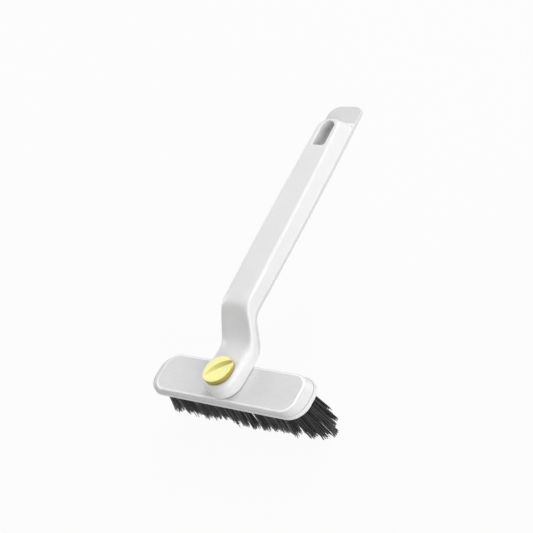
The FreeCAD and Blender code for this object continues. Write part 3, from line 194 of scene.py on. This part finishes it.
class BrushSettings(bpy.types.PropertyGroup):
    """All settings of the grout brush"""
    bristles: PointerProperty(type=BristleSettings)
    finish: PointerProperty(type=FinishSettings)
    knob: PointerProperty(type=KnobSettings)
    stage: PointerProperty(type=StageSettings)


def settings():
    return bpy.context.scene.grout_brush


# Node materials
def darker(colour, share):
    return [c * share for c in colour]


class Shader:
    """A principled material and short calls for its nodes"""

    def __init__(self, name, roughness):
        self.material = bpy.data.materials.new(name)
        self.material.use_nodes = True
        self.nodes = self.material.node_tree.nodes
        self.links = self.material.node_tree.links
        self.body = self.nodes["Principled BSDF"]
        self.body.inputs["Roughness"].default_value = roughness
        self.coords = self.nodes.new("ShaderNodeTexCoord")

    def noise(self, scale, detail=3.0, stretch=None, turn=0.0):
        """Noise in the piece's own space, stretched and turned (in degrees) if asked"""
        node = self.nodes.new("ShaderNodeTexNoise")
        node.inputs["Scale"].default_value = scale
        node.inputs["Detail"].default_value = detail
        source = self.coords.outputs["Object"]
        if stretch:
            mapping = self.nodes.new("ShaderNodeMapping")
            mapping.inputs["Rotation"].default_value = (0.0, 0.0, math.radians(turn))
            mapping.inputs["Scale"].default_value = stretch
            self.links.new(source, mapping.inputs["Vector"])
            source = mapping.outputs["Vector"]
        self.links.new(source, node.inputs["Vector"])
        return node.outputs["Fac"]

    def spread(self, source, low, high, start=0.3, stop=0.7):
        """Low up to start, high from stop on, and a ramp between them"""
        node = self.nodes.new("ShaderNodeMapRange")
        node.inputs["From Min"].default_value = start
        node.inputs["From Max"].default_value = stop
        node.inputs["To Min"].default_value = low
        node.inputs["To Max"].default_value = high
        self.links.new(source, node.inputs["Value"])
        return node.outputs["Result"]

    def tones(self, source, first, second):
        """Mix of two colours or colour sockets"""
        node = self.nodes.new("ShaderNodeMix")
        node.data_type = "RGBA"
        for tone, socket in zip((first, second), [s for s in node.inputs if s.type == "RGBA"]):
            if isinstance(tone, bpy.types.NodeSocket):
                self.links.new(tone, socket)
            else:
                socket.default_value = (*tone, 1.0)
        self.links.new(source, node.inputs["Factor"])
        return [s for s in node.outputs if s.type == "RGBA"][0]

    def edges(self, radius, sharp=0.955, flat=0.992):
        """1 along sharp edges, 0 on flat ground, by how far rounding them turns the surface; the mask for
        painted highlights
        """
        rounded = self.nodes.new("ShaderNodeBevel")
        rounded.samples = 6
        rounded.inputs["Radius"].default_value = radius
        facing = self.nodes.new("ShaderNodeNewGeometry")
        turn = self.nodes.new("ShaderNodeVectorMath")
        turn.operation = "DOT_PRODUCT"
        self.links.new(rounded.outputs["Normal"], turn.inputs[0])
        self.links.new(facing.outputs["Normal"], turn.inputs[1])
        return self.spread(turn.outputs["Value"], 1.0, 0.0, sharp, flat)

    def crevices(self, distance, start=0.1, stop=0.5):
        """0 deep in a slot or under a rim, 1 in the open; the mask for painted shade"""
        node = self.nodes.new("ShaderNodeAmbientOcclusion")
        node.samples = 8
        node.inputs["Distance"].default_value = distance
        return self.spread(node.outputs["AO"], 0.0, 1.0, start, stop)

    def level(self, none, full):
        """0 at one height of the piece, 1 at another, and the same beyond them"""
        parts = self.nodes.new("ShaderNodeSeparateXYZ")
        self.links.new(self.coords.outputs["Object"], parts.inputs["Vector"])
        return self.spread(parts.outputs["Z"], 0.0, 1.0, none, full)

    def both(self, one, two):
        node = self.nodes.new("ShaderNodeMath")
        node.operation = "MULTIPLY"
        self.links.new(one, node.inputs[0])
        self.links.new(two, node.inputs[1])
        return node.outputs["Value"]

    def bump(self, source, distance):
        node = self.nodes.new("ShaderNodeBump")
        node.inputs["Distance"].default_value = distance
        node.inputs["Strength"].default_value = 1.0
        self.links.new(source, node.inputs["Height"])
        return node.outputs["Normal"]

    def feed(self, socket, source):
        self.links.new(source, self.body.inputs[socket])


def moulded(name, colour, roughness, grain_scale, grain_depth, edge=None, reach=0.004, shade=0.35,
            detail=None):
    """Moulded plastic: fine grain, slightly uneven colour, painted shade in crevices, painted highlights
    along sharp edges
    """
    blotch_tone = 0.965
    gloss_spread = 0.07
    shader = Shader(name, roughness)
    blotches = shader.noise(scale=45.0, detail=2.0)
    fine = shader.noise(grain_scale, detail=4.0)
    paint = shader.tones(shader.spread(blotches, 0.0, 1.0), darker(colour, blotch_tone), colour)
    if detail:
        paint = detail(shader, colour, paint)
    # Painted shade: the colour darkens deep in slots and under rims, where shade falls
    paint = shader.tones(shader.crevices(reach, start=0.15, stop=0.6), darker(colour, shade), paint)
    # Painted highlight: sharp edges are lightened towards the edge colour, standing in for light caught on
    # them
    if edge:
        paint = shader.tones(shader.edges(radius=0.0005), paint, edge)
    shader.feed("Base Color", paint)
    shader.feed("Roughness", shader.spread(fine, roughness - gloss_spread, roughness + gloss_spread))
    shader.feed("Normal", shader.bump(fine, grain_depth))
    return shader.material


def brushed_panel_with_highlight(shader, colour, paint):
    """Fine slanting lines on the cover, and a painted highlight line along the rim of its panel"""
    line_tone = 0.72
    line_strength = 0.22
    lines = shader.noise(scale=1300.0, stretch=(0.09, 1.0, 1.0), turn=28.0)
    faint = shader.spread(lines, 0.0, line_strength, start=0.45, stop=0.75)
    paint = shader.tones(faint, paint, darker(colour, line_tone))
    # Painted highlight: a thin light band on the slope just below the panel's edge
    rim = shader.both(shader.level(*RIM_FADES_IN), shader.level(*RIM_FADES_OUT))
    return shader.tones(rim, paint, settings().finish.edge)


def painted_seam_shade(shader, colour, paint):
    """Painted shade along the parting line under the cover"""
    seam_shade_tone = 0.66
    return shader.tones(shader.level(*SEAM_FADES_IN), paint, darker(colour, seam_shade_tone))


def metal(name, colour, roughness, stretch):
    """Metal with fine lines along the axis whose stretch is small"""
    line_tone = 0.85
    shader = Shader(name, roughness)
    shader.body.inputs["Metallic"].default_value = 1.0
    lines = shader.noise(scale=900.0, stretch=stretch)
    shader.feed("Base Color", shader.tones(shader.spread(lines, 0.0, 1.0), darker(colour, line_tone), colour))
    shader.feed("Roughness", shader.spread(lines, low=roughness - 0.08, high=roughness + 0.1))
    shader.feed("Normal", shader.bump(lines, distance=0.00001))
    return shader.material


def dress(node, material):
    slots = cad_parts[node].data.materials
    slots.clear()
    slots.append(material)


def new_piece(name, points, faces, material, smooth=True):
    mesh = bpy.data.meshes.new(name)
    mesh.from_pydata(points, [], faces)
    mesh.update()
    mesh.materials.append(material)
    if smooth:
        mesh.shade_smooth()
    piece = bpy.data.objects.new(name, mesh)
    bpy.context.scene.collection.objects.link(piece)
    return piece


# Bristles
def separate_solids(mesh):
    """Corner points of each separate solid of a CAD node, from left to right"""
    keys = [tuple(round(c, 6) for c in vertex.co) for vertex in mesh.vertices]
    joined = {}
    for key in keys:
        joined.setdefault(key, len(joined))
    parent = list(range(len(joined)))

    def root(k):
        while parent[k] != k:
            parent[k] = parent[parent[k]]
            k = parent[k]
        return k

    for edge in mesh.edges:
        a, b = (root(joined[keys[v]]) for v in edge.vertices)
        parent[a] = b
    solids = {}
    for key, index in joined.items():
        solids.setdefault(root(index), []).append(Vector(key))
    return sorted(solids.values(), key=lambda points: (min(p.x for p in points), min(p.y for p in points)))


def middle_of(ring):
    return sum(ring, Vector()) / len(ring)


def tuft_shape(points):
    """Mouth ring and tip ring of one tuft, from its corner points"""
    levels = sorted({round(p.z, 5) for p in points}, reverse=True)
    mouth = [p for p in points if abs(p.z - levels[1]) < SAME_LEVEL]
    tip = [p for p in points if p.z < levels[1] - BELOW_MOUTH]

    def turned(ring):
        centre = middle_of(ring)
        return sorted(ring, key=lambda p: math.atan2(p.y - centre.y, p.x - centre.x))

    return turned(mouth), turned(tip)


def on_ring(ring, rho, theta):
    """Point in a ring of corners, by its share of the radius and its angle"""
    place = (theta + math.pi) / (2 * math.pi) * len(ring)
    first = int(place) % len(ring)
    edge = ring[first].lerp(ring[(first + 1) % len(ring)], place - int(place))
    return middle_of(ring).lerp(edge, rho)


def filament(points, faces, line, radius):
    """A thin tube along a line, drawn in at its tip"""
    first = len(points)
    last = len(line) - 1
    for k, spot in enumerate(line):
        ahead = (line[min(k + 1, last)] - line[max(k - 1, 0)]).normalized()
        across = ahead.orthogonal().normalized()
        beside = ahead.cross(across)
        width = radius * (TIP_WIDTH if k == last else 1.0)
        for side in range(SIDES):
            turn = 2 * math.pi * side / SIDES
            points.append(spot + (across * math.cos(turn) + beside * math.sin(turn)) * width)
    for k in range(last):
        for side in range(SIDES):
            a = first + k * SIDES + side
            b = first + k * SIDES + (side + 1) % SIDES
            faces.append((a, b, b + SIDES, a + SIDES))
    faces.append(tuple(range(first, first + SIDES))[::-1])
    faces.append(tuple(range(first + last * SIDES, first + (last + 1) * SIDES)))


def sideways(draw):
    return Vector((draw.gauss(0, 1), draw.gauss(0, 1), 0))


def uneven_cut(draw):
    """How much longer a filament is cut: most differ a little, a few are far too short or long"""
    more = draw.uniform(*CUT_RANGE)
    chance = draw.random()
    if chance < SHORT_BELOW:
        more -= draw.uniform(*SHORT_RANGE)
    elif chance > LONG_ABOVE:
        more += draw.uniform(*LONG_RANGE)
    return more


def keep_inside(spot, margin):
    """Hold a point between the left and right sides of the CAD box and above its bottom"""
    low, high = CAD_BOX
    spot.x = min(max(spot.x, low[0] + margin), high[0] - margin)
    spot.z = max(spot.z, low[2] + margin)


def plant_tuft(values, draw, mouth, tip, out, flare, points, faces, shades):
    """Filaments of one tuft, from its mouth ring to its tip ring, leaning out at their tips"""
    level = middle_of(tip).z
    lean = sideways(draw) * values.stray
    phase = draw.uniform(0.0, 2 * math.pi)
    for k in range(values.per_tuft):
        rho = math.sqrt((k + 0.5) / values.per_tuft)
        theta = (k * GOLDEN_ANGLE + draw.uniform(-JITTER, JITTER) + math.pi) % (2 * math.pi) - math.pi
        start = on_ring(mouth, rho, theta)
        stop = on_ring(tip, rho * flare, theta)
        stop.z += (level - stop.z) * values.flat_cut
        stop += out * draw.uniform(*LEAN_RANGE)
        run = stop - start
        length = run.length + uneven_cut(draw) * values.ragged
        run.normalize()
        bend = lean + sideways(draw) * values.stray * (INNER_STRAY + rho)
        line = [start + Vector((0.0, 0.0, ROOT))]
        for share in BENDS:
            line.append(start + run * length * share + bend * share ** 2)
        for spot in line:
            keep_inside(spot, values.thickness * BOX_MARGIN)
        before = len(points)
        filament(points, faces, line, values.thickness * draw.uniform(*WIDTH_RANGE))
        clump = 0.5 + 0.5 * math.sin(2.0 * theta + phase)
        shade = min(1.0, CLUMP_SHARE * clump + (1 - CLUMP_SHARE) * draw.random() ** 2)
        shades.extend([shade] * (len(points) - before))


def bristle_finish(values):
    """Black filaments of different darkness with fine streaks, and painted shade that makes them darkest deep
    in the tufts
    """
    deep_shade_tone = 0.3
    shader = Shader("bristle_black", roughness=0.42)
    strand = shader.nodes.new("ShaderNodeAttribute")
    strand.attribute_name = "strand"
    paint = shader.tones(strand.outputs["Fac"], values.dark, values.light)
    # Painted shade: darker deep between the tufts, where shade falls
    paint = shader.tones(shader.crevices(distance=0.005), darker(values.dark, deep_shade_tone), paint)
    shader.feed("Base Color", paint)
    streaks = shader.noise(scale=2500.0, detail=2.0, stretch=(1.0, 1.0, 0.04))
    shader.feed("Roughness", shader.spread(streaks, low=0.34, high=0.5))
    return shader.material


class GROUTBRUSH_OT_bristles(bpy.types.Operator):
    """Plant filaments in every tuft hole and trim them to the V"""
    bl_idname = "grout_brush.bristles"
    bl_label = "Bristles"

    def execute(self, context):
        values = settings().bristles
        material = bristle_finish(values)
        for number, node in enumerate(TUFT_NODES):
            draw = random.Random(FIRST_SEED + number)
            points = []
            faces = []
            shades = []
            solids = separate_solids(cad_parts[node].data)
            if not solids:
                raise RuntimeError("no tufts in " + node)
            at_end = node.endswith("end")
            flare = values.end_flare if at_end else values.row_flare
            for solid in solids:
                mouth, tip = tuft_shape(solid)
                out = Vector()
                if at_end:
                    out.x = math.copysign(values.splay, mouth[0].x)
                plant_tuft(values, draw, mouth, tip, out, flare, points, faces, shades)
            piece = new_piece(node.replace("tufts", "bristles"), points, faces, material)
            tone = piece.data.attributes.new("strand", "FLOAT", "POINT")
            tone.data.foreach_set("value", shades)
            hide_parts(node)
            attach(piece, "head")
        return {"FINISHED"}


# Handle and head
class GROUTBRUSH_OT_handle(bpy.types.Operator):
    """Finish the handle shell and its back plate"""
    bl_idname = "grout_brush.handle"
    bl_label = "Handle"

    def execute(self, context):
        values = settings().finish
        dress("handle_shell", moulded("shell_white", values.handle, roughness=0.36, grain_scale=1400.0,
                                      grain_depth=values.grain, edge=values.edge, reach=0.016, shade=0.2))
        dress("handle_back_plate", moulded("plate_white", values.plate, roughness=0.34, grain_scale=1400.0,
                                           grain_depth=values.grain, edge=values.edge, reach=0.008))
        return {"FINISHED"}


class GROUTBRUSH_OT_head(bpy.types.Operator):
    """Finish the head cover and the bristle base"""
    bl_idname = "grout_brush.head"
    bl_label = "Head"

    def execute(self, context):
        values = settings().finish
        dress("head_cover", moulded("head_white", values.cover, roughness=0.42, grain_scale=900.0,
                                    grain_depth=values.grain * 2.0, shade=0.6, detail=brushed_panel_with_highlight))
        dress("bristle_base", moulded("base_white", values.base, roughness=0.3, grain_scale=1600.0,
                                      grain_depth=values.grain * 0.5, shade=0.6, detail=painted_seam_shade))
        return {"FINISHED"}


# Knob
class KnobForm:
    """Corner points of the leaf-shaped knob, column by column along its length"""
    columns = 56
    # Rounded rim: how far in from the side, and how far below the face
    rim = ((0.0005, 0.0), (0.00022, 0.0001), (0.00006, 0.00027), (0.0, 0.00052))
    # Share of a half wave that the groove's depth follows, from the closed tip to the open one
    depth_wave = 0.72
    # Where along the knob the groove begins to cut the rim, and the length until it cuts it fully
    run_out = 0.0072
    run_out_length = 0.0032
    # How fast the foot of the groove's wall curls to the near side, and its room to the rims and to the edge
    foot_curl = 13.5
    inside_rim = 0.97
    least_wall = 0.00005
    # Shares of the widths of the face, the groove's wall (with shares of its depth) and the groove's floor
    face_steps = (1.0, 0.6, 0.2)
    wall_steps = ((0.0, 0.03), (0.1, 0.14), (0.5, 0.53), (0.9, 0.9), (1.0, 0.98))
    floor_steps = (0.06, 0.3, 0.65, 1.0)
    side_chamfer = 0.00015
    hub_chamfer = 0.0002

    def __init__(self, values, box):
        self.values = values
        self.low = box[0][2]
        self.top = box[1][2]
        self.middle = Vector(((box[0][0] + box[1][0]) / 2, (box[0][1] + box[1][1]) / 2, 0.0))
        self.side = (values.long ** 2 + values.short ** 2) / (2 * values.short)
        self.drop = self.side - values.short
        self.turn = Matrix.Rotation(values.angle, 3, "Z")
        self.points = []
        self.faces = []

    def add(self, u, v, z):
        """A point by its place along and across the knob, and its height"""
        self.points.append(self.turn @ Vector((u, v, z)) + self.middle)
        return len(self.points) - 1

    def length(self, inset):
        return math.sqrt((self.side - inset) ** 2 - self.drop ** 2)

    def half(self, u, inset):
        return max(0.0, math.sqrt((self.side - inset) ** 2 - u ** 2) - self.drop)

    def column(self, k, inset):
        return -self.length(inset) * math.cos(math.pi * k / self.columns)

    def deep(self, u):
        """Depth of the groove at a place along the knob"""
        share = (u + self.values.long) / (2 * self.values.long)
        return self.values.depth * math.sin(self.depth_wave * math.pi * min(1.0, max(0.0, share)))

    def rim_drop(self, u):
        """How far the groove cuts down the near rim, where it runs out at the open tip"""
        share = min(1.0, max(0.0, (u - self.run_out) / self.run_out_length))
        return self.deep(u) * share * share * (3 - 2 * share)

    def profile(self, u, inset):
        """Places across the face and their depths, from the far rim to the near rim"""
        half = self.half(u, inset)
        edge = min(self.values.bow * (1 - (u / self.values.long) ** 2), half * self.inside_rim)
        foot = min(self.values.foot - self.foot_curl * u * u, edge - self.least_wall)
        foot = max(foot, -half * self.inside_rim)
        deep = self.deep(u)
        near = self.rim_drop(u)
        out = [(edge + (half - edge) * s, 0.0) for s in self.face_steps]
        out += [(edge + (foot - edge) * s, deep * d) for s, d in self.wall_steps]
        out += [(foot + (-half - foot) * s, deep + (near - deep) * s) for s in self.floor_steps]
        return out

    def face(self):
        """The top with its groove; returns the ring round it, far side first"""
        inset = self.rim[0][0]
        rows = []
        for k in range(1, self.columns):
            u = self.column(k, inset)
            rows.append([self.add(u, v, self.top - d) for v, d in self.profile(u, inset)])
        reach = self.length(inset)
        tip = self.add(-reach, 0.0, self.top)
        end = self.add(reach, 0.0, self.top - self.rim_drop(reach))
        for one, two in zip(rows, rows[1:]):
            for j in range(len(one) - 1):
                self.faces.append((one[j], one[j + 1], two[j + 1], two[j]))
        for j in range(len(rows[0]) - 1):
            self.faces.append((tip, rows[0][j + 1], rows[0][j]))
            self.faces.append((end, rows[-1][j], rows[-1][j + 1]))
        return [tip] + [row[0] for row in rows] + [end] + [row[-1] for row in reversed(rows)]

    def outline(self, inset, z, meets_groove=False):
        """A ring round the knob, far side first, which dips with the groove where it meets it"""
        ring = []
        steps = [(k, 1) for k in range(self.columns + 1)]
        steps += [(k, -1) for k in range(self.columns - 1, 0, -1)]
        for k, side in steps:
            u = self.column(k, inset)
            dips = meets_groove and (side < 0 or k == self.columns)
            ring.append(self.add(u, self.half(u, inset) * side, z - (self.rim_drop(u) if dips else 0.0)))
        return ring

    def circle(self, like, radius, z):
        """A round ring with a point in line with each point of another ring"""
        ring = []
        for index in like:
            aim = self.turn.transposed() @ (self.points[index] - self.middle)
            aim.z = 0.0
            aim = aim.normalized() * radius
            ring.append(self.add(aim.x, aim.y, z))
        return ring

    def join(self, one, two):
        for j in range(len(one)):
            n = (j + 1) % len(one)
            self.faces.append((one[j], one[n], two[n], two[j]))

    def build(self):
        values = self.values
        rings = [self.face()]
        rings += [self.outline(inset, self.top - drop, True) for inset, drop in self.rim[1:]]
        rings.append(self.outline(0.0, values.under + self.side_chamfer))
        rings.append(self.outline(self.side_chamfer, values.under))
        rings.append(self.circle(rings[-1], values.hub, values.under))
        rings.append(self.circle(rings[-1], values.hub, self.low + self.hub_chamfer))
        rings.append(self.circle(rings[-1], values.hub - self.hub_chamfer, self.low))
        rings.append(self.circle(rings[-1], values.socket, self.low))
        rings.append(self.circle(rings[-1], values.socket, values.socket_end))
        for one, two in zip(rings, rings[1:]):
            self.join(one, two)
        self.faces.append(tuple(rings[-1]))
        return self.points, self.faces


def knob_finish(values):
    """Pale yellow on the face, and painted shade: a deeper yellow on the steep side and groove wall, darker
    still in the gap under the knob
    """
    steep, sloping, level = 0.1, 0.86, 0.97
    slope_share = 0.42
    deep_shade_tone = 0.4
    shader = Shader("knob_yellow", roughness=0.3)
    # Painted shade: the colour darkens as the surface turns from facing up to facing sideways
    parts = shader.nodes.new("ShaderNodeSeparateXYZ")
    shader.links.new(shader.coords.outputs["Normal"], parts.inputs["Vector"])
    ramp = shader.nodes.new("ShaderNodeValToRGB")
    shader.links.new(parts.outputs["Z"], ramp.inputs["Fac"])
    wall, face = Vector(values.knob_wall_shade), Vector(values.knob)
    stops = ramp.color_ramp.elements
    stops[0].position, stops[1].position = steep, level
    stops[0].color, stops[1].color = (*wall, 1.0), (*face, 1.0)
    stops.new(sloping).color = (*wall.lerp(face, slope_share), 1.0)
    fine = shader.noise(scale=1800.0, detail=4.0)
    # Painted shade: darker in the groove and in the gap under the knob, where shade falls
    paint = shader.tones(shader.crevices(distance=0.002), darker(wall, deep_shade_tone), ramp.outputs["Color"])
    shader.feed("Base Color", paint)
    shader.feed("Roughness", shader.spread(fine, low=0.24, high=0.36))
    shader.feed("Normal", shader.bump(fine, distance=values.grain * 0.5))
    return shader.material


class GROUTBRUSH_OT_knob(bpy.types.Operator):
    """Lock knob with its finger groove, and its brass insert"""
    bl_idname = "grout_brush.knob"
    bl_label = "Knob"

    def execute(self, context):
        values = settings().finish
        points, faces = KnobForm(settings().knob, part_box("lock_knob")).build()
        piece = new_piece("lock_knob_leaf", points, faces, knob_finish(values))
        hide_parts("lock_knob")
        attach(piece, "knob")
        dress("knob_insert", metal("brass", values.brass, roughness=0.32, stretch=(1.0, 1.0, 0.1)))
        return {"FINISHED"}


class GROUTBRUSH_OT_fastenings(bpy.types.Operator):
    """Finish the bolt, washers, screws and tuft anchors"""
    bl_idname = "grout_brush.fastenings"
    bl_label = "Fastenings"

    def execute(self, context):
        values = settings().finish
        steel = metal("steel", values.steel, roughness=0.3, stretch=(1.0, 1.0, 0.1))
        for node in ("pivot_bolt", "back_plate_screws", "base_screws", "spring_washer", "knob_washer"):
            dress(node, steel)
        dress("tuft_anchors", metal("anchor_wire", values.wire, roughness=0.4, stretch=(0.1, 1.0, 1.0)))
        dress("swivel_washer", moulded("nylon", values.nylon, roughness=0.4, grain_scale=2000.0,
                                       grain_depth=0.00001))
        return {"FINISHED"}


# Stage
class GROUTBRUSH_OT_stage(bpy.types.Operator):
    """Floor, light and camera"""
    bl_idname = "grout_brush.stage"
    bl_label = "Stage"

    def execute(self, context):
        values = settings().stage
        scene = context.scene
        scene.view_settings.view_transform = "Standard"
        self.camera(scene, values)
        self.floor(values)
        self.sky(scene, values)
        for name, place, width, power in LAMPS:
            lamp(scene, name, place, width, power)
        return {"FINISHED"}

    def camera(self, scene, values):
        eye = bpy.data.cameras.new("photo_view")
        eye.lens = values.lens
        eye.sensor_width = SENSOR_WIDTH
        eye.clip_start = NEAREST_SEEN
        holder = bpy.data.objects.new("photo_view", eye)
        scene.collection.objects.link(holder)
        right = Vector(CAMERA_RIGHT)
        down = Vector(CAMERA_DOWN)
        ahead = right.cross(down).normalized()
        turn = Matrix((right, -down, -ahead)).transposed()
        holder.matrix_world = Matrix.Translation(CAMERA_PLACE) @ turn.to_4x4()
        scene.camera = holder

    def floor(self, values):
        material = bpy.data.materials.new("floor_white")
        material.use_nodes = True
        nodes = material.node_tree.nodes
        links = material.node_tree.links
        body = nodes["Principled BSDF"]
        body.inputs["Base Color"].default_value = (*values.floor, 1.0)
        body.inputs["Roughness"].default_value = FLOOR_ROUGHNESS
        glow = nodes.new("ShaderNodeEmission")
        glow.inputs["Strength"].default_value = 1.0
        blend = nodes.new("ShaderNodeMixShader")
        links.new(seen_directly(nodes, links, values.floor_white), blend.inputs["Fac"])
        links.new(body.outputs["BSDF"], blend.inputs[1])
        links.new(glow.outputs["Emission"], blend.inputs[2])
        links.new(blend.outputs["Shader"], nodes["Material Output"].inputs["Surface"])
        corners = [(x * FLOOR_HALF, y * FLOOR_HALF, 0.0) for x, y in ((-1, -1), (1, -1), (1, 1), (-1, 1))]
        ground = new_piece("floor", corners, [(0, 1, 2, 3)], material, smooth=False)

    def sky(self, scene, values):
        world = bpy.data.worlds.new("studio")
        scene.world = world
        world.use_nodes = True
        nodes = world.node_tree.nodes
        links = world.node_tree.links
        light = nodes["Background"]
        light.inputs["Color"].default_value = WHITE
        light.inputs["Strength"].default_value = values.sky
        white = nodes.new("ShaderNodeBackground")
        white.inputs["Color"].default_value = WHITE
        white.inputs["Strength"].default_value = 1.0
        blend = nodes.new("ShaderNodeMixShader")
        links.new(seen_directly(nodes, links, 1.0), blend.inputs["Fac"])
        links.new(light.outputs["Background"], blend.inputs[1])
        links.new(white.outputs["Background"], blend.inputs[2])
        links.new(blend.outputs["Shader"], nodes["World Output"].inputs["Surface"])


def seen_directly(nodes, links, share):
    """A share for rays from the camera, reflections and glass, and 0 for the light on the object"""
    path = nodes.new("ShaderNodeLightPath")
    total = path.outputs["Is Camera Ray"]
    for kind in ("Is Glossy Ray", "Is Transmission Ray"):
        larger = nodes.new("ShaderNodeMath")
        larger.operation = "MAXIMUM"
        links.new(total, larger.inputs[0])
        links.new(path.outputs[kind], larger.inputs[1])
        total = larger.outputs["Value"]
    scaled = nodes.new("ShaderNodeMath")
    scaled.operation = "MULTIPLY"
    scaled.inputs[1].default_value = share
    links.new(total, scaled.inputs[0])
    return scaled.outputs["Value"]


def lamp(scene, name, place, width, power):
    light = bpy.data.lights.new(name, "AREA")
    light.shape = "DISK"
    light.size = width
    light.energy = power
    holder = bpy.data.objects.new(name, light)
    holder.location = place
    holder.rotation_euler = (Vector(LAMP_TARGET) - Vector(place)).to_track_quat("-Z", "Y").to_euler()
    scene.collection.objects.link(holder)


class GROUTBRUSH_PT_sidebar(bpy.types.Panel):
    """Settings and steps of the grout brush"""
    bl_label = "Grout Brush"
    bl_space_type = "VIEW_3D"
    bl_region_type = "UI"
    bl_category = "Grout Brush"

    def draw(self, context):
        for group in (settings().bristles, settings().finish, settings().knob, settings().stage):
            box = self.layout.box()
            for name in group.bl_rna.properties.keys():
                if name not in ("rna_type", "name"):
                    box.prop(group, name)
        for step in STEPS:
            self.layout.operator(step.bl_idname)


GROUPS = (BristleSettings, FinishSettings, KnobSettings, StageSettings, BrushSettings)
STEPS = (GROUTBRUSH_OT_stage, GROUTBRUSH_OT_handle, GROUTBRUSH_OT_head, GROUTBRUSH_OT_knob,
         GROUTBRUSH_OT_fastenings, GROUTBRUSH_OT_bristles)
CLASSES = GROUPS + STEPS + (GROUTBRUSH_PT_sidebar,)


def register():
    for item in CLASSES:
        bpy.utils.register_class(item)
    bpy.types.Scene.grout_brush = PointerProperty(type=BrushSettings)


def unregister():
    del bpy.types.Scene.grout_brush
    for item in reversed(CLASSES):
        bpy.utils.unregister_class(item)


def main():
    register()
    bpy.ops.grout_brush.stage()
    bpy.ops.grout_brush.handle()
    bpy.ops.grout_brush.head()
    bpy.ops.grout_brush.knob()
    bpy.ops.grout_brush.fastenings()
    bpy.ops.grout_brush.bristles()


if __name__ == "__main__":
    main()
